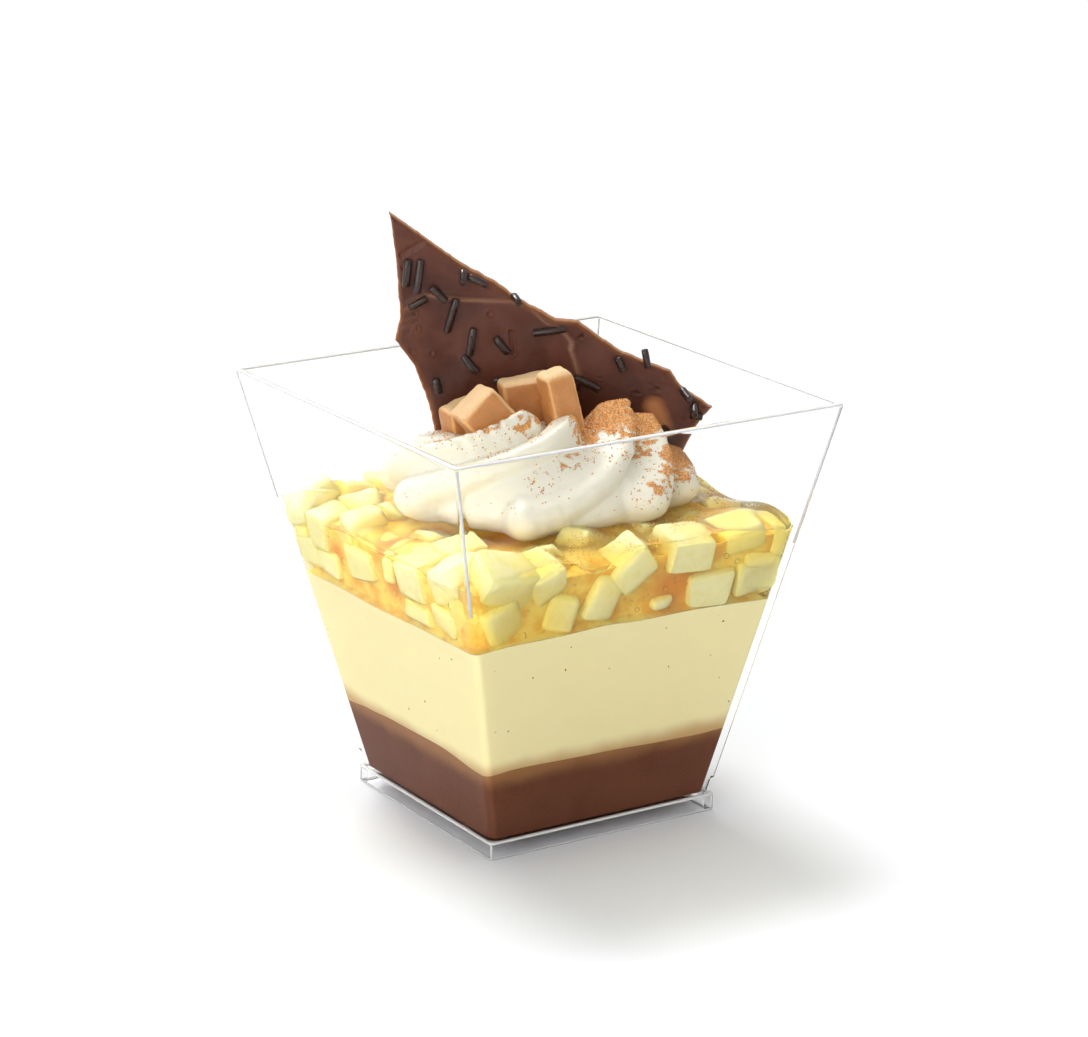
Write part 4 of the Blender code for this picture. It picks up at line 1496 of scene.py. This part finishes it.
def make_shard(material):
    """The broken plate: a relief on its face, a smooth back, a rounded edge all round."""
    edge_line = broken_outline()
    hub = np.array(SHARD_HUB)
    count = len(edge_line)
    half = SHARD_THICKNESS / 2
    ways = edge_line - hub
    length = np.linalg.norm(ways, axis=1)[:, None]
    rounding = EDGE_ROUNDING / MM
    shares = np.linspace(0, 1, SHARD_RINGS + 1)[1:]

    def ring(share, drop):
        return hub + ways / length * np.maximum(length - drop, 0.1) * share

    def near_rim(share):
        return np.clip(1 - (1 - share) * length[:, 0] / WARM_RIM, 0, 1)

    flats, depths, edges = [], [], []
    for share in shares:
        flat = ring(share, rounding)
        flats.append(flat)
        relief = np.minimum(shard_relief(flat), 2 * half)
        depths.append(-half - relief * min(1, (1 - share) * 30 + 0.25))
        edges.append(near_rim(share) * 0.5)
    for side, turns, warmth in ((-1, (35, 65, 90), 1.0), (1, (90, 45, 0), 0.8)):
        for turn in turns:
            way = math.radians(turn)
            flats.append(ring(1.0, rounding * (1 - math.sin(way))))
            depths.append(np.full(count, side * (half - EDGE_ROUNDING * (1 - math.cos(way)))))
            edges.append(np.full(count, warmth))
    for share in shares[::-1][1::4]:
        flats.append(ring(share, rounding))
        depths.append(np.full(count, half))
        edges.append(near_rim(share) * 0.4)
    flat = np.concatenate(flats)
    depth = np.concatenate(depths)
    local = np.stack([flat[:, 0] * MM, depth, flat[:, 1] * MM], -1)
    front = (hub[0] * MM, -half - shard_relief(np.array([hub]))[0], hub[1] * MM)
    local = np.concatenate([local, [front, (hub[0] * MM, half, hub[1] * MM)]])
    points = moved_by(local, plate_to_world())
    faces = closed(len(flats), count)
    # Painted light: how strongly the warm pool lies on each point of the face.
    glow = distance_to_path(flat, np.array(SHARD_GLOW))
    lit = np.where(depth < 0, 0.7 * np.clip(1.4 - glow / 1.6, 0, 1), 0)
    # The painted highlight along the seam's raised lip.
    lip = np.where(depth < 0, np.exp(-((seam_distance(flat) / 0.32) ** 2)), 0)
    looks = {"edge": np.concatenate(edges), "lit": lit, "lip": lip}
    looks = {name: np.append(values, (0, 0)) for name, values in looks.items()}
    return piece(
        "shard_plate", points, faces, material, "shard_chocolate", ["chocolate_shard"], sharp=60,
        **looks,
    )


def sprinkle_shape():
    """A short extruded rod with shallow grooves and cut ends, one unit long and of unit radius."""
    sides = SPRINKLE_SIDES
    sections = ((-0.5, 0.78), (-0.47, 0.95), (-0.2, 1.0), (0.2, 0.98), (0.47, 0.95), (0.5, 0.78))
    rings = []
    for z, size in sections:
        for i in range(sides):
            turn = math.tau * i / sides
            radius = size * (1 - 0.10 * (1 + math.cos(3 * turn)) / 2)
            rings.append((radius * math.cos(turn), radius * math.sin(turn), z))
    points = np.array(rings + [(0, 0, -0.46), (0, 0, 0.46)])
    return points, closed(len(sections), sides)


def make_sprinkles(material):
    """Sprinkles pressed into the face, most of them flat and a few standing out of it."""
    shape, shape_faces = sprinkle_shape()
    place = plate_to_world()
    rng = np.random.default_rng(SPRINKLE_SEED)
    points, faces = [], []
    for across, up, length, slant in SPRINKLES:
        face = -SHARD_THICKNESS / 2 - shard_relief(np.array([(across, up)]))[0]
        standing = length < SEEN_END_ON
        tilt = rng.uniform(50, 75) if standing else rng.uniform(-5, 5)
        real = max(length, STANDING_LENGTH) * MM if standing else length * MM
        size = SPRINKLE_RADIUS * rng.uniform(0.92, 1.08)
        turn = Matrix.Rotation(math.radians(90 - slant), 4, "Y")
        turn = turn @ Matrix.Rotation(math.radians(tilt), 4, "X")
        turn = turn @ Matrix.Rotation(rng.uniform(0, math.tau), 4, "Z")
        lift = size * 0.7 + abs(math.sin(math.radians(tilt))) * real * 0.25
        centre = Matrix.Translation((across * MM, face - lift, up * MM))
        local = shape * (size, size, real)
        local[:, 0] += size * 0.25 * rng.uniform(-1, 1) * (2 * shape[:, 2]) ** 2
        first = len(points) * len(shape)
        points.append(moved_by(local, place @ centre @ turn))
        faces += [tuple(first + i for i in f) for f in shape_faces]
    points = np.concatenate(points)
    return piece("dark_sprinkles", points, faces, material, "shard_chocolate", sharp=50)


# ---------------------------------------------------------------- studio

CAMERA_PLACE = (-0.30373, -0.49117, 0.22185)
CAMERA_HEADING = math.radians(31.898)
CAMERA_DIP = math.radians(16.648)
CAMERA_ROLL = math.radians(0.05)
CAMERA_LENS = 119.57
# Each lamp: heading from +X towards +Y, height above the table, strength and softness.
KEY_LAMP = (88, 50, 2.2, 24)
FILL_LAMP = (210, 14, 1.25, 50)
ROOM_BRIGHTNESS = 0.65
TABLE_REACH = 6.0


def make_camera():
    camera = bpy.data.cameras.new("camera")
    camera.sensor_width = 36
    camera.lens = CAMERA_LENS
    camera.clip_start = 0.01
    ob = linked("camera", camera)
    ob.location = CAMERA_PLACE
    look = Euler((math.pi / 2 - CAMERA_DIP, 0, -CAMERA_HEADING)).to_matrix()
    ob.rotation_euler = (look @ Matrix.Rotation(-CAMERA_ROLL, 3, "Z")).to_euler()
    bpy.context.scene.camera = ob


def make_lamp(name, heading, height, strength, softness):
    """A far lamp that looks softness degrees wide from the table."""
    lamp = bpy.data.lights.new(name, "SUN")
    lamp.energy = strength
    lamp.angle = math.radians(softness)
    lamp.cycles.use_multiple_importance_sampling = False
    turn = math.radians(heading)
    rise = math.radians(height)
    flat = math.cos(rise)
    towards = Vector((math.cos(turn) * flat, math.sin(turn) * flat, math.sin(rise)))
    linked(name, lamp).rotation_euler = towards.to_track_quat("Z", "Y").to_euler()


def make_studio():
    """A white table in a pale room, a soft lamp high behind the food, a weaker one at its left."""
    scene = bpy.context.scene
    scene.cycles.max_bounces = 32
    scene.cycles.transmission_bounces = 24
    scene.cycles.glossy_bounces = 24
    scene.view_settings.view_transform = "Standard"
    world = bpy.data.worlds.new("white_room")
    world.use_nodes = True
    background = world.node_tree.nodes["Background"]
    background.inputs[0].default_value = (1.0, 1.0, 1.0, 1.0)
    background.inputs[1].default_value = ROOM_BRIGHTNESS
    scene.world = world
    f = Finish("white_table")
    f.surface({"Base Color": (0.85, 0.865, 0.895), "Roughness": 0.7, "Specular IOR Level": 0.2})
    bm = bmesh.new()
    bmesh.ops.create_grid(bm, x_segments=1, y_segments=1, size=TABLE_REACH)
    mesh = bpy.data.meshes.new("table")
    bm.to_mesh(mesh)
    bm.free()
    mesh.materials.append(f.material)
    table = linked("table", mesh)
    make_lamp("key", *KEY_LAMP)
    make_lamp("fill", *FILL_LAMP)


# ---------------------------------------------------------------- assembly


def build():
    make_camera()
    make_studio()
    make_tumbler(clear_plastic())
    make_painted_edge_lights(painted_edge_light())
    custard_body = make_layers(set_chocolate(), custard())
    dice = make_dice(diced_fruit())
    jelly = make_jelly(fruit_jelly(), jelly_core(), dice)
    make_bubbles(air_bubble())
    cream = make_cream(whipped_cream())
    make_toffees(toffee())
    make_shard(shard_chocolate())
    make_sprinkles(sprinkle_chocolate())

    grain = grain_shape("cinnamon_grain", 1, 0.7)
    seed = grain_shape("seed", 1, 0.5)
    dusting = np.zeros(len(cream.data.vertices), np.float32)
    cream.data.attributes["dusting"].data.foreach_get("value", dusting)
    cinnamon = ground_cinnamon()
    scattered("loose_cinnamon", cream, dusting, cinnamon, "cream", grain, *CREAM_GRAINS)
    jelly_points, jelly_normals = mesh_arrays(jelly)
    fallen = dusted(jelly_points @ np.array(TO_TOPPING.to_3x3()), JELLY_DUST_PATCHES)
    fallen *= (jelly_normals[:, 2] > 0.4) * (noise_at(jelly_points, 2.5 * MM) > -0.1)
    scattered("cinnamon_on_jelly", jelly, fallen, cinnamon, "fruit_jelly", grain, *JELLY_GRAINS)
    points, normals = mesh_arrays(custard_body)
    on_side = (np.abs(normals[:, 2]) < 0.5) & (points[:, 2] > CHOCOLATE_TOP + 3 * MM)
    vanilla = vanilla_seed()
    scattered("vanilla_seeds", custard_body, on_side, vanilla, "custard", seed, *VANILLA_GRAINS)


build()
